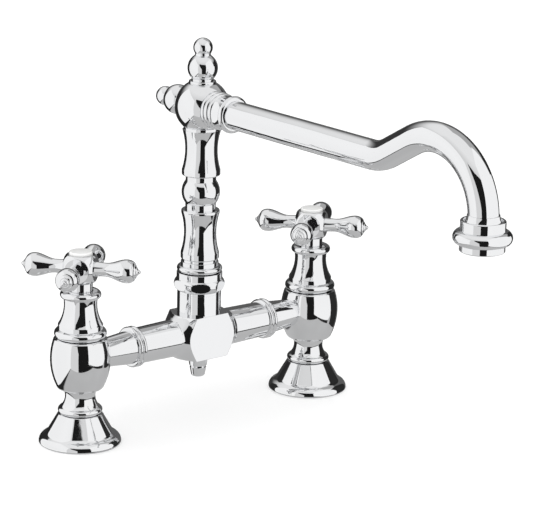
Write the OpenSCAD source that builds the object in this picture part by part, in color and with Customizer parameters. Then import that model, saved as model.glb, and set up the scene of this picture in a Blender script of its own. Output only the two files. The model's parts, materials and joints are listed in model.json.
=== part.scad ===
// Deck mounted bridge mixer tap: two flared pillars with crosshead handles and quarter turn
// ceramic valves, a bridge with a square mixing block, and a turned column that carries the
// swivelling spout. Millimetres. The origin lies on the deck at the middle of the bridge, X runs
// along the bridge with the hot pillar at -X, the spout points to -Y and Z is up.

/* [Layout] */
// Distance between the axes of the two inlets
tap_centres = 180; // [170:2:220]
// Distance from the column's axis to the nozzle's axis
nozzle_reach = 244.7; // [230:0.1:280]
// Angle of the hot handle's arms from the bridge
hot_handle_angle = 38; // [0:1:89]
// Angle of the cold handle's arms from the bridge
cold_handle_angle = 37; // [0:1:89]

/* [Fits] */
// Radial clearance of a shaft that turns in its bore
running_fit = 0.05; // [0.02:0.01:0.09]
// Clearance between pieces that move past each other
moving_gap = 0.3; // [0.2:0.05:0.5]
// Radial clearance of a spigot or thread in its socket
slip_fit = 0.05; // [0.02:0.01:0.1]
// Clearance at the end of a spigot
end_gap = 0.2; // [0.1:0.05:0.4]

/* [Foot] */
// Diameter over the foot's round lip
foot_d = 49.6; // [48.8:0.2:55]
// Height of the foot
foot_h = 18.5; // [18:0.5:22]
// Radius of the round lip
lip_r = 4.6; // [4.2:0.1:5.2]
// Radius of the lip's lower edge
lip_edge_r = 1; // [0.6:0.1:1.4]
// Angle over which the lip turns before the hollow
lip_turn = 68.5; // [66:0.5:70]
// Radius of the hollow where the lip meets the cone
lip_hollow_r = 4.1; // [3.4:0.1:4.6]
// Lean of the foot's cone from upright
cone_angle = 30; // [28:0.5:31]
// Radius of the foot's upper edge
foot_edge_r = 0.6; // [0.3:0.1:0.9]
// Wall of the foot's cone
cone_wall = 2.2; // [1.8:0.1:2.6]
// Diameter of the boss inside the foot
foot_boss_d = 25; // [24:0.2:26]
// Diameter inside the inlet thread, as of a half inch pipe thread
inlet_d = 18.6; // [18:0.1:19]
// Depth of the inlet socket
inlet_depth = 10; // [9:0.5:11]
// Thickness of the land that the valve body's spigot stands on
foot_land_h = 1; // [0.8:0.1:1.5]
// Height of the seal under the foot
foot_seal_h = 2.4; // [2:0.1:3]
// Outer diameter of the seal under the foot
foot_seal_d = 42.8; // [42:0.2:43.4]
// Inner diameter of the seal under the foot
foot_seal_bore = 29; // [27:0.5:32]

/* [Valve body] */
// Diameter of the spigot that screws into the foot
spigot_d = 15; // [14:0.5:16]
// Diameter of the waterway through spigot and neck
neck_bore_d = 9.6; // [8:0.2:11]
// Diameter over the bead above the foot
neck_bead_d = 26.7; // [26:0.1:28]
// Radius of the bead's section
neck_bead_r = 2.1; // [1.8:0.1:2.4]
// Height of the neck from the foot to the barrel
neck_h = 15.3; // [14.5:0.1:17]
// Diameter of the neck at its waist
neck_d = 18.2; // [17.4:0.2:19.6]
// Radius of the neck's hollow curve
neck_curve_r = 9; // [8.5:0.1:11]
// Height of the waist above the foot
neck_waist_h = 10.6; // [10:0.1:11.4]
// Height of the ring under the barrel
barrel_ring_h = 0.6; // [0.4:0.1:1]
// Diameter of the ring under the barrel
barrel_ring_d = 21.6; // [21:0.2:22.6]
// Greatest diameter of the barrel
barrel_d = 36.3; // [35:0.1:38]
// Radius of the barrel's side curve
barrel_curve_r = 39; // [36:1:50]
// Height of the bridge's axis above the barrel's foot
barrel_below = 18.7; // [17.5:0.1:20]
// Height of the barrel above the bridge's axis
barrel_above = 13.1; // [12.5:0.1:14]
// Radius of the barrel's lower edge
barrel_low_r = 3.2; // [2.4:0.1:3.6]
// Radius of the barrel's upper edge
barrel_top_r = 1.6; // [1.2:0.1:2]
// Depth from the barrel's top to the valve seat
seat_depth = 25.6; // [25:0.1:26.5]
// Diameter of the valve chamber
chamber_d = 20.6; // [20:0.1:21.4]
// Diameter of the threaded mouth of the chamber
mouth_d = 18.8; // [18.4:0.1:19.2]
// Height of the threaded mouth
mouth_h = 8; // [7:0.1:8.5]

/* [Bridge] */
// Distance from a pillar's axis to the joint with the bridge arm
stub_len = 38.8; // [36:0.2:44]
// Depth of the side stub's root inside the barrel
stub_sink = 2; // [1.5:0.1:3]
// Diameter of the side stub where it leaves the barrel
stub_root_d = 17; // [16:0.2:18]
// Diameter of the side stub behind its ring
stub_end_d = 20.6; // [19.6:0.2:21.4]
// Diameter of the rings at the bridge joints
ring_d = 25.1; // [24.6:0.1:27]
// Width of one ring
ring_w = 2.8; // [2.4:0.1:3.4]
// Diameter of the bridge arm at its ring
arm_end_d = 21.9; // [20.8:0.1:22.2]
// Diameter of the bridge arm at the mixing block
arm_root_d = 23; // [22.4:0.1:23.6]
// Diameter of the waterway along the bridge
bridge_bore_d = 10; // [8:0.2:10.4]
// Diameter of the arm's spigot in the stub
arm_spigot_d = 14.8; // [14.4:0.1:15.2]
// Length of the arm's spigot in the stub
arm_spigot_len = 8; // [7:0.1:9]
// Diameter of the arm's thread in the mixing block
arm_thread_d = 16; // [15:0.2:17]
// Length of the arm's thread in the mixing block
arm_thread_len = 7; // [6:0.1:7.4]
// Section diameter of the bridge's sealing rings
bridge_oring_w = 1.2; // [1:0.05:1.3]

/* [Mixing block] */
// Side of the block's square section
block_side = 27.4; // [27.2:0.1:29]
// Length of the block's front face at mid height
block_len = 34.6; // [33.6:0.2:40]
// Run of the block's turned end cone for each unit of radius
end_run = 0.9; // [0.8:0.05:1.1]
// Diameter of the mixing chamber
mixing_d = 16; // [14:0.5:17]
// Diameter of the collar on the block
collar_d = 27; // [26.6:0.1:27.2]
// Height of the collar above the block
collar_h = 12.7; // [12:0.1:16]
// Height of the collar's bore above the bridge's axis
collar_bore_rise = 8.5; // [8.5:0.1:9.5]
// Diameter of the thread on top of the collar
collar_thread_d = 24.4; // [24:0.1:24.8]
// Height of the thread on top of the collar
collar_thread_h = 8.3; // [7.8:0.1:9]

/* [Bottom plug] */
// Diameter of the plug at the block
plug_d = 12.4; // [11.6:0.2:14]
// Diameter of the plug above its groove
plug_mid_d = 10.9; // [10.4:0.1:11.6]
// Diameter in the groove
plug_groove_d = 9.6; // [9:0.1:10]
// Diameter of the plug below its groove
plug_low_d = 10.3; // [10:0.1:11]
// Diameter of the plug's rounded end
plug_end_d = 8.6; // [8:0.1:9.4]
// Height of the plug's tapered top
plug_top_h = 7; // [6:0.1:8]
// Height of the groove
plug_groove_h = 1.2; // [0.8:0.1:1.6]
// Height of the plug's lower part
plug_low_h = 5.8; // [4.5:0.1:6.4]
// Radius of the plug's end
plug_round_r = 1.4; // [1:0.1:1.8]
// Diameter of the plug's thread
plug_thread_d = 8; // [7:0.1:9]

/* [Swivel] */
// Room under the spout's journal in the collar's bore
journal_room = 1.5; // [1:0.1:2.5]
// Diameter of the spout's journal
journal_d = 19.2; // [18.8:0.1:19.4]
// Wall of the bearing bush
bush_wall = 0.95; // [0.8:0.05:1]
// Height of the bearing bush in the collar
bush_h = 8; // [7:0.1:9]
// Thickness of the bush's flange
bush_flange_h = 1; // [0.8:0.1:1.2]
// Outer diameter of the bush's flange
bush_flange_d = 23.6; // [23:0.1:24]
// Thickness of the split ring that keeps the spout in
clip_h = 1; // [0.8:0.1:1.2]
// Outer diameter of the split ring
clip_d = 22.8; // [22.4:0.1:23.2]
// Depth of the split ring's groove
clip_groove = 0.85; // [0.7:0.05:1]
// Opening of the split ring
clip_mouth = 4; // [3:0.5:6]
// Height of the lower sealing ring above the journal's end
seal_low_h = 5; // [4:0.1:6]
// Height of the upper sealing ring above the journal's end
seal_high_h = 11; // [10:0.1:12]
// Depth of the sealing rings' grooves
seal_groove = 1.6; // [1.4:0.05:1.8]
// Diameter of the waterway up the column
column_bore_d = 11.6; // [10:0.2:12.4]
// Height of the swivel nut
nut_h = 13.1; // [13:0.1:16]
// Greatest diameter of the swivel nut
nut_d = 31.4; // [30.6:0.1:33]
// Distance across the nut's flats
nut_flats = 29.1; // [28.6:0.1:29.8]
// Height of the nut's bead above its foot
nut_bead_h = 5.5; // [5:0.1:6]
// Radius of the nut's bead section
nut_bead_r = 4.5; // [4.2:0.1:4.9]
// Diameter of the nut's upper rim
nut_rim_d = 28.1; // [27.6:0.1:28.4]
// Thickness of the nut's lip over the split ring
nut_lip_h = 2.2; // [2:0.1:2.6]
// Turn of the nut's flats
nut_turn = -5; // [-30:1:30]

/* [Column] */
// Diameter over the ring at the foot of the column
base_ring_d = 27.9; // [27:0.1:28.4]
// Height of that ring
base_ring_h = 3.8; // [3.4:0.1:4.4]
// Diameter of the step above that ring
base_step_d = 23.2; // [22.6:0.1:24]
// Height of the step, up to the groove under the vase
base_step_h = 2.6; // [2.2:0.1:3.2]
// Diameter in the groove under the vase
base_groove_d = 21.6; // [21:0.1:22.4]
// Height of the groove under the vase
base_groove_h = 1.6; // [1.2:0.1:2]
// Diameter of the vases at their ends
vase_end_d = 23.5; // [23:0.1:24.4]
// Diameter of the vases at their waists
vase_waist_d = 19.7; // [19.2:0.1:20.6]
// Height of the straight band at a vase's foot
vase_band_h = 4; // [3:0.1:5]
// Height of the vases' hollow curves
vase_curve_h = 25; // [22:0.5:34]
// Height of the lower vase's crown
crown_h = 1.9; // [1.6:0.1:2.4]
// Radius of the vases' edges
vase_edge_r = 0.8; // [0.5:0.1:1.1]
// Diameter of the ball between the vases
knop_d = 23.4; // [22.8:0.1:25]
// Diameter of the ball's necks
knop_neck_d = 18.6; // [18.2:0.1:19.4]
// Length of the neck below the ball
knop_low_neck = 4; // [3:0.1:5]
// Length of the neck above the ball
knop_high_neck = 3.4; // [2.6:0.1:4.4]
// Diameter of the neck under the elbow
elbow_neck_d = 22; // [21.4:0.1:22.4]
// Height of the neck under the elbow
elbow_neck_h = 1.7; // [1.2:0.1:2.6]
// Diameter of the screwed joints inside the column
joint_d = 15.2; // [14.8:0.1:15.8]
// Length of the screwed joints inside the column
joint_len = 4.4; // [3.6:0.1:4.8]

/* [Elbow and finials] */
// Diameter of the elbow's ball
elbow_d = 33.4; // [32.4:0.1:36]
// Diameter of the seat that the spout's collar screws against
collar_seat_d = 22.6; // [22.2:0.1:23]
// Diameter of a finial's foot
finial_foot_d = 16.6; // [16:0.1:17.6]
// Thickness of a finial's foot
finial_foot_h = 1.5; // [1.2:0.1:2]
// Diameter of the neck over a finial's foot
finial_neck_d = 13.3; // [12.6:0.1:14]
// Diameter of a finial's large ball
finial_ball_d = 18.4; // [17.6:0.1:20]
// Distance from the foot to the large ball's centre
finial_ball_rise = 9; // [8.6:0.1:9.8]
// Diameter of the neck between the balls
finial_waist_d = 9.6; // [9:0.1:10.2]
// Diameter of a finial's small ball
finial_tip_d = 11.8; // [11:0.1:12.8]
// Distance between the balls' centres
finial_tip_rise = 12.5; // [12:0.1:13.2]
// Diameter of a finial's screw
finial_screw_d = 5; // [4:0.1:6]
// Length of a finial's screw
finial_screw_len = 5; // [4:0.1:5.4]

/* [Spout collar] */
// Diameter of the first ring at the elbow
first_ring_d = 23.2; // [22.8:0.1:24]
// Width of the first ring
first_ring_w = 2.3; // [2:0.1:2.6]
// Diameter of the second ring
second_ring_d = 22; // [21.6:0.1:22.6]
// Width of the second ring
second_ring_w = 2.2; // [1.8:0.1:2.6]
// Diameter of the collar's waist
collar_waist_d = 20.2; // [19.8:0.1:20.8]
// Diameter of the waist's ends
collar_waist_end_d = 20.8; // [20.6:0.1:21.4]
// Length of the collar's waist
collar_waist_len = 10.2; // [9:0.1:14]
// Diameter of the ring at the spout tube
end_ring_d = 22.6; // [22:0.1:23.6]
// Width of the ring at the spout tube
end_ring_w = 3.4; // [3:0.1:4]
// Depth of the socket for the spout tube
tube_socket_len = 12; // [10:0.5:13]

/* [Spout tube] */
// Outer diameter of the spout tube
tube_d = 17.3; // [16.8:0.1:17.8]
// Wall of the spout tube
tube_wall = 1.2; // [1:0.1:1.6]
// Slope of the tube's rise
rise_angle = 30; // [24:1:34]
// Radius of the bend into the rise
low_bend_r = 30; // [26:1:36]
// Radius of the bend over the crest
high_bend_r = 38.5; // [34:0.5:42]
// Height of the crest above the straight run
crest_rise = 19.9; // [17:0.1:26]
// Length of the straight end inside the nozzle
tube_end_len = 6; // [5:0.5:8]
// Lap of the rise over the ends of the two bends
rise_lap = 0.4; // [0.3:0.05:0.6]
// Extra wall of the rise, inside and outside, where it laps over the bends
rise_swell = 0.05; // [0.04:0.01:0.08]

/* [Nozzle] */
// Diameter of the nozzle's cup and lower rim
nozzle_d = 25.2; // [24.8:0.1:26.4]
// Height of the nozzle
nozzle_h = 17.4; // [17:0.1:20]
// Diameter over the nozzle's ring
nozzle_ring_d = 33; // [32:0.2:35]
// Radius of the ring's section
nozzle_ring_r = 4; // [3.6:0.1:4.4]
// Height of the ring above the nozzle's lower edge
nozzle_ring_h = 7.9; // [7.4:0.1:8.6]
// Width of the cup's rim
cup_rim_w = 1.6; // [1.2:0.1:1.8]
// Depth of the channel inside the cup's rim
cup_depth = 1.6; // [1.2:0.1:2.4]
// Height of the flare that rises above the cup around the tube
flare_h = 3; // [2:0.1:4]
// Width of the flare at the channel's floor
flare_w = 2; // [1.6:0.1:2.1]
// Thickness of the flare's upper edge
flare_edge = 0.4; // [0.3:0.05:0.6]
// Radius of the nozzle's outer edges
nozzle_edge_r = 0.7; // [0.4:0.1:1]
// Diameter inside the nozzle's thread
nozzle_thread_d = 21; // [20.6:0.1:21.4]
// Depth of the nozzle's threaded mouth
nozzle_thread_h = 9; // [8.6:0.1:9.4]
// Diameter of the waterway through the nozzle
nozzle_bore_d = 13; // [11:0.5:14]

/* [Aerator] */
// Depth of the aerator's lower face in the nozzle
aerator_inset = 0.8; // [0.5:0.1:1.2]
// Thickness of the aerator's washer
aerator_washer_h = 1.6; // [1.4:0.1:1.9]
// Wall of the aerator's housing
aerator_wall = 1.5; // [1.2:0.1:1.8]
// Thickness of the aerator's lower lip
aerator_lip_h = 0.8; // [0.6:0.1:1]
// Width of the aerator's lower lip
aerator_lip_w = 1.1; // [0.9:0.1:1.4]
// Thickness of the aerator's screen
screen_h = 0.8; // [0.6:0.1:1]
// Diameter of the screen's holes
screen_hole_d = 1.6; // [1.2:0.1:1.8]
// Rings of holes around the screen's middle hole
screen_rings = 2; // [1:1:2]
// Diameter of the insert's channels
channel_d = 2.6; // [2:0.1:3]
// Number of the insert's channels
channel_count = 12; // [8:1:14]

/* [Shroud] */
// Diameter over the shroud's foot ring
shroud_bead_d = 31.5; // [31.3:0.1:33]
// Radius of the foot ring's section
shroud_bead_r = 2.85; // [2.6:0.05:3.1]
// Diameter of the band above the foot ring
shroud_band_d = 26.9; // [26.6:0.1:27.4]
// Height of the band's top above the barrel
shroud_band_h = 8.3; // [8:0.1:9]
// Diameter of the bell's waist
shroud_waist_d = 19.8; // [19.6:0.1:20.6]
// Height of the bell's waist above the barrel
shroud_waist_h = 20.6; // [19.6:0.1:22]
// Height of the top ring's middle above the barrel
shroud_ring_h = 26.7; // [26:0.1:28]
// Diameter over the top ring
shroud_ring_d = 24.6; // [24:0.1:26]
// Radius of the top ring's section
shroud_ring_r = 2.35; // [2.1:0.05:2.6]
// Wall of the bell
shroud_wall = 1.5; // [1.3:0.1:1.6]
// Angle below the waist over which the bell's inside follows its outside
shroud_bore_turn = 16; // [12:1:18]
// Diameter inside the shroud's foot
shroud_foot_bore = 25.2; // [24.8:0.1:25.6]
// Height of the wide bore in the shroud's foot
shroud_foot_h = 5.8; // [5.4:0.1:6]

/* [Headwork] */
// Diameter of the cage around the discs
cage_d = 18; // [17.6:0.1:18.2]
// Diameter inside the cage
cage_bore_d = 14.8; // [14.6:0.1:15]
// Height of the cage's bore above the seal
cage_h = 14; // [13.6:0.1:14.4]
// Width of the cage's windows
window_w = 6; // [4:0.5:7]
// Height of the cage's windows
window_h = 5.4; // [4:0.1:6]
// Height of the windows above the seal
window_rise = 7.4; // [7:0.1:8]
// Width across the hexagon's flats
hex_flats = 20.8; // [20:0.1:21]
// Height of the hexagon
hex_h = 4.4; // [4:0.1:5]
// Diameter of the gland above the hexagon
gland_d = 15.6; // [15:0.1:15.8]
// Height of the gland above the hexagon
gland_h = 13; // [11:0.5:13]
// Thickness of the seal under the headwork
seat_seal_h = 2; // [1.6:0.1:2.4]
// Outer diameter of the seal under the headwork
seat_seal_d = 17; // [16.6:0.1:18]
// Thickness of a ceramic disc
disc_h = 3; // [2.6:0.1:3.2]
// Gap between the ceramic discs
disc_gap = 0.1; // [0.05:0.01:0.15]
// Outer radius of a disc's ports
port_r = 6; // [5.4:0.1:6.2]
// Inner radius of a disc's ports
port_inner_r = 1.8; // [1.4:0.1:2.2]
// Angle that a port spans
port_angle = 76; // [60:1:80]

/* [Spindle] */
// Diameter of the spindle
spindle_d = 8; // [7.6:0.1:8.4]
// Diameter of the spindle's splined top
spline_d = 7.2; // [6.8:0.1:7.4]
// Thickness of the plate that turns the disc
drive_h = 3; // [2.6:0.1:3.2]
// Diameter of the plate that turns the disc
drive_d = 14; // [13.6:0.1:14]
// Diameter of the shoulder under the cage's roof
shoulder_d = 12; // [11:0.1:13]
// Height of the shoulder
shoulder_h = 1.6; // [1.2:0.1:2]
// Depth of the screw's hole in the spindle
screw_hole_depth = 9; // [8.4:0.1:11]

/* [Handle] */
// Diameter of the handle's stem
stem_d = 14.4; // [14:0.1:14.6]
// Length of stem that shows above the shroud
stem_show = 5.4; // [4.6:0.1:7]
// Depth of the stem inside the shroud
stem_depth = 9; // [8:0.1:9.6]
// Width of the hub across its flats
hub_w = 18.6; // [18.2:0.1:20]
// Height of the hub
hub_h = 16.8; // [16.4:0.1:18]
// Diameter of the ball that rounds the hub's corners
hub_ball_d = 23.8; // [23.2:0.1:24.6]
// Diameter of the screw's counterbore
counterbore_d = 8.4; // [8:0.1:8.6]
// Depth of the counterbore from the hub's top
counterbore_depth = 9.7; // [9.4:0.1:10]
// Thickness of the web under the screw's head
web_h = 2; // [1.6:0.1:2.4]
// Distance from the hub's face to an arm's tip
arm_len = 27.4; // [25:0.1:31]
// Diameter of an arm at the hub
arm_foot_d = 9; // [8.6:0.1:9.6]
// Diameter of an arm's waist
arm_waist_d = 8.2; // [7.8:0.1:8.5]
// Distance from the hub's face to the waist
arm_waist_at = 6; // [5:0.1:7]
// Greatest diameter of an arm
arm_bulb_d = 14.2; // [13.4:0.1:15]
// Distance from the hub's face to the bulb's greatest diameter
arm_bulb_at = 19; // [17.6:0.1:19.6]
// Distance from the hub's face to the end of the bulb
arm_bulb_end = 23.9; // [23.4:0.1:24.2]
// Diameter of the first step at an arm's end
step_one_d = 8.2; // [7.6:0.1:8.8]
// Diameter of the second step
step_two_d = 5; // [4.4:0.1:5.4]
// Width of a step
step_w = 0.7; // [0.5:0.05:0.8]
// Radius of the arm's blunt tip
arm_tip_r = 1.1; // [0.9:0.05:1.3]
// Diameter of an arm's screw
arm_screw_d = 5.1; // [4.6:0.1:5.4]
// Length of an arm's screw
arm_screw_len = 4; // [3.4:0.1:4.2]
// Diameter of the index disc
index_d = 14.2; // [13.4:0.1:16]
// Thickness of the index disc
index_h = 2; // [1.6:0.1:2.6]
// Radius of the index disc's edge
index_edge_r = 0.9; // [0.5:0.1:1.1]
// Length of the index disc's plug in the counterbore
index_plug_h = 4; // [3:0.1:5]
// Diameter of the handle screw's head
screw_head_d = 7; // [6.4:0.1:7.4]
// Height of the handle screw's head
screw_head_h = 2.6; // [2:0.1:3]
// Diameter of the handle screw's shank
screw_d = 4; // [3.6:0.1:4.2]
// Length of the handle screw's shank
screw_len = 10; // [9.4:0.1:10.3]
// Width of the screw's hexagon socket
screw_socket = 3; // [2.5:0.1:3.4]

/* [Hidden] */
$fn = 72;
cut = 1;
hot = -1;
cold = 1;

// Faces of thin rings and screen holes, and steps of the curves in the profiles
round_faces = 24;
hole_faces = 16;
small_steps = 4;
edge_steps = 5;
flare_steps = 6;
bulb_steps = 7;
arc_steps = 8;
lip_steps = 9;
bead_steps = 10;
curve_steps = 12;
ring_steps = 14;
ball_steps = 16;

// Where the round edges of the neck's and shroud's beads end, and the shroud's ring and the arms'
// tips start, in degrees
neck_bead_end = 58;
shroud_bead_end = 48;
shroud_ring_start = -80;
arm_tip_start = 10;

// Half an O-ring groove to the ring's width, floor of the screw's socket to its head's height,
// and rim of the screen to the pitch of its holes
groove_share = 0.6;
socket_floor_share = 1 / 3;
screen_rim_share = 0.9;

// Levels of a pillar
neck_z = foot_h;
barrel_z = neck_z + neck_h;
bridge_z = barrel_z + barrel_below;
body_top = bridge_z + barrel_above;
seat_z = body_top - seat_depth;
mouth_z = body_top - mouth_h;
shroud_top = body_top + shroud_ring_h + shroud_ring_r;
hub_z = shroud_top + stem_show;
hub_mid = hub_z + hub_h / 2;
hub_top = hub_z + hub_h;
web_top = hub_top - counterbore_depth;
spindle_top = web_top - web_h;
stem_z = shroud_top - stem_depth;

// Outline of a foot: centres of the lip's hollow, foot of the cone, upper edge and cavity
lip_x = foot_d / 2 - lip_r;
hollow_x = lip_x + (lip_r + lip_hollow_r) * cos(lip_turn);
hollow_z = lip_edge_r + (lip_r + lip_hollow_r) * sin(lip_turn);
cone_x = hollow_x - lip_hollow_r * cos(cone_angle);
cone_z = hollow_z - lip_hollow_r * sin(cone_angle);
foot_top_r = cone_x - (foot_h - cone_z) * tan(cone_angle);
foot_edge_x = foot_top_r + foot_edge_r * (tan(cone_angle) - 1 / cos(cone_angle));
cavity_r = cone_x + (cone_z - foot_seal_h) * tan(cone_angle) - cone_wall / cos(cone_angle);

// Levels of a headwork
cage_z = seat_z + seat_seal_h;
moving_z = cage_z + disc_h + disc_gap;
drive_z = moving_z + disc_h;
cage_roof = cage_z + cage_h;
gland_z = body_top + hex_h;
gland_top = gland_z + gland_h;

// Stations along the bridge, measured from a pillar's axis
block_half = block_len / 2 + (block_side - arm_root_d) / 2 * end_run;
block_at = tap_centres / 2 - block_half;
arm_ring_end = stub_len + ring_w;

// Levels of the swivel
block_top = bridge_z + block_side / 2;
block_low = bridge_z - block_side / 2;
collar_top = block_top + collar_h;
thread_top = collar_top + collar_thread_h;
collar_bore_z = bridge_z + collar_bore_rise;
bush_bore_d = journal_d + 2 * running_fit;
collar_bore_d = bush_bore_d + 2 * bush_wall;
clip_z = thread_top + bush_flange_h + moving_gap;
nut_lip_z = clip_z + clip_h + moving_gap;
nut_top = collar_top + nut_h;
journal_z = collar_bore_z + journal_room;
oring_w = (collar_bore_d / 2 - running_fit) - (journal_d / 2 - seal_groove);
nut_bore_d = collar_thread_d + 2 * slip_fit;
nut_lip_d = journal_d + 2 * moving_gap;

// Levels of the column
stem_foot = nut_top + moving_gap;
vase_z = stem_foot + base_ring_h + base_step_h + base_groove_h;
low_curve_z = vase_z + vase_band_h;
knop_z = low_curve_z + vase_curve_h + crown_h;
knop_half = sqrt(pow(knop_d / 2, 2) - pow(knop_neck_d / 2, 2));
knop_mid = knop_z + knop_low_neck + knop_half;
high_vase_z = knop_mid + knop_half + knop_high_neck;
high_curve_z = high_vase_z + vase_band_h - vase_edge_r;
elbow_neck_z = high_curve_z + vase_curve_h;
elbow_seat_z = elbow_neck_z + elbow_neck_h;
elbow_drop = sqrt(pow(elbow_d / 2, 2) - pow(elbow_neck_d / 2, 2));
spout_z = elbow_seat_z + elbow_drop;
finial_at = sqrt(pow(elbow_d / 2, 2) - pow(finial_foot_d / 2, 2));
finial_screw_at = finial_at - finial_screw_len - end_gap;

// Stations along the spout, measured from the column's axis
collar_at = sqrt(pow(elbow_d / 2, 2) - pow(collar_seat_d / 2, 2));
waist_at = collar_at + first_ring_w + second_ring_w;
end_ring_at = waist_at + collar_waist_len;
collar_end = end_ring_at + end_ring_w;
tube_at = collar_end - tube_socket_len;
rise_run = (crest_rise - (low_bend_r + high_bend_r) * (1 - cos(rise_angle))) / sin(rise_angle);
bends_reach = (low_bend_r + high_bend_r) * sin(rise_angle) + rise_run * cos(rise_angle)
    + high_bend_r;
low_bend_at = nozzle_reach - bends_reach;
high_bend_z = spout_z + crest_rise - high_bend_r;
tube_bore_d = tube_d - 2 * tube_wall;

// Levels of the nozzle
tube_end_z = high_bend_z - tube_end_len;
nozzle_z = high_bend_z - nozzle_h;
nozzle_seat_z = nozzle_z + nozzle_thread_h;
aerator_z = nozzle_z + aerator_inset;
aerator_top = nozzle_seat_z - aerator_washer_h;
aerator_d = nozzle_thread_d - 2 * slip_fit;
aerator_bore_d = aerator_d - 2 * aerator_wall;
insert_z = aerator_z + aerator_lip_h + screen_h;

// Points on an arc about [x, y]
function arc(x, y, r, from, to, steps = arc_steps) =
    [for (i = [0:steps]) let (a = from + (to - from) * i / steps) [x + r * cos(a), y + r * sin(a)]];

// Points up a hollow curve of radius r whose waist is at [waist_r, waist_z]
function hollow(waist_r, waist_z, r, z0, z1, steps = curve_steps) =
    arc(waist_r + r, waist_z, r, 180 + asin((waist_z - z0) / r), 180 - asin((z1 - waist_z) / r), steps);

// Radius of the arc that drops by sag over half a chord
function sag_radius(half, sag) = (half * half + sag * sag) / (2 * sag);

// Points up a full curve of radius r with round edges of radius low and high
function barrel_curve(mid_r, mid_z, r, z0, z1, low, high) =
    let (a0 = asin((mid_z - z0 - low) / (r - low)))
    let (a1 = asin((z1 - high - mid_z) / (r - high)))
    concat(
        arc(mid_r - r + (r - low) * cos(a0), z0 + low, low, -90, -a0, edge_steps),
        arc(mid_r - r, mid_z, r, -a0, a1, curve_steps),
        arc(mid_r - r + (r - high) * cos(a1), z1 - high, high, a1, 90, edge_steps)
    );

// Points over a half round ring from z0 to z1
function ring_curve(r, z0, z1) =
    arc(r - (z1 - z0) / 2, (z0 + z1) / 2, (z1 - z0) / 2, -90, 90);

// Turned piece from points [radius, height]
module turned(points) {
    rotate_extrude() polygon(points);
}

// Ring of round section
module round_ring(r, w) {
    rotate_extrude() translate([r, 0]) circle(d = w, $fn = round_faces);
}

// Bore along Z from z0 to z1
module bore(d, z0, z1) {
    translate([0, 0, z0]) cylinder(d = d, h = z1 - z0);
}

// Places a piece on a pillar's axis
module at_pillar(side) {
    translate([side * tap_centres / 2, 0, 0]) children();
}

// Turns a piece so that its axis runs from a pillar to the column
module toward_block(side) {
    translate([side * tap_centres / 2, 0, bridge_z]) rotate([0, -side * 90, 0]) children();
}

// Turns a piece so that its axis runs from the elbow's centre along the spout
module along_spout() {
    translate([0, 0, spout_z]) rotate([90, 0, 0]) children();
}

// Angle of a handle's arms
function handle_angle(side) = side == hot ? hot_handle_angle : cold_handle_angle;

// Foot of a pillar
module foot(side) {
    color("silver") at_pillar(side) difference() {
        turned(concat(
            [[inlet_d / 2, 0]],
            arc(foot_d / 2 - lip_edge_r, lip_edge_r, lip_edge_r, -90, 0, small_steps),
            arc(lip_x, lip_edge_r, lip_r, 0, lip_turn, lip_steps),
            arc(hollow_x, hollow_z, lip_hollow_r, 180 + lip_turn, 180 + cone_angle, edge_steps),
            arc(foot_edge_x, foot_h - foot_edge_r, foot_edge_r, cone_angle, 90, small_steps),
            [
                [spigot_d / 2 + slip_fit, foot_h],
                [spigot_d / 2 + slip_fit, inlet_depth + foot_land_h],
                [neck_bore_d / 2, inlet_depth + foot_land_h],
                [neck_bore_d / 2, inlet_depth],
                [inlet_d / 2, inlet_depth]
            ]
        ));
        turned([
            [foot_boss_d / 2, -cut],
            [foot_seal_d / 2, -cut],
            [foot_seal_d / 2, foot_seal_h],
            [cavity_r, foot_seal_h],
            [foot_boss_d / 2, foot_seal_h + (cavity_r - foot_boss_d / 2) / tan(cone_angle)]
        ]);
    }
}

// Rubber seal under a foot
module foot_seal(side) {
    color("dimgray") at_pillar(side) difference() {
        bore(foot_seal_d, 0, foot_seal_h);
        bore(foot_seal_bore, -cut, foot_seal_h + cut);
    }
}

// Valve body: spigot, bead, neck and barrel in one turning, with the stub to the bridge
module valve_body(side) {
    color("silver") difference() {
        union() {
            at_pillar(side) turned(concat(
                [
                    [0, inlet_depth + foot_land_h],
                    [spigot_d / 2, inlet_depth + foot_land_h],
                    [spigot_d / 2, foot_h]
                ],
                arc(neck_bead_d / 2 - neck_bead_r, foot_h + neck_bead_r, neck_bead_r,
                    -90, neck_bead_end, bead_steps),
                hollow(neck_d / 2, neck_z + neck_waist_h, neck_curve_r, neck_z + 2 * neck_bead_r,
                    barrel_z - barrel_ring_h),
                [
                    [barrel_ring_d / 2, barrel_z - barrel_ring_h],
                    [barrel_ring_d / 2, barrel_z]
                ],
                barrel_curve(barrel_d / 2, bridge_z, barrel_curve_r, barrel_z, body_top,
                    barrel_low_r, barrel_top_r),
                [[0, body_top]]
            ));
            toward_block(side) turned(concat(
                [[0, 0], [stub_root_d / 2, 0], [stub_root_d / 2, barrel_d / 2 - stub_sink]],
                [[stub_end_d / 2, stub_len - ring_w]],
                ring_curve(ring_d / 2, stub_len - ring_w, stub_len),
                [[0, stub_len]]
            ));
        }
        at_pillar(side) {
            bore(neck_bore_d, inlet_depth, seat_z + cut);
            bore(chamber_d, seat_z, mouth_z);
            bore(mouth_d, mouth_z - cut, body_top + cut);
        }
        toward_block(side) {
            bore(bridge_bore_d, 0, stub_len + cut);
            bore(arm_spigot_d + 2 * slip_fit, stub_len - arm_spigot_len - end_gap, stub_len + cut);
        }
    }
}

// Rubber seal between the valve seat and the headwork
module seat_seal(side) {
    color("black") at_pillar(side) difference() {
        bore(seat_seal_d, seat_z, cage_z);
        bore(neck_bore_d, seat_z - cut, cage_z + cut);
    }
}

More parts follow.
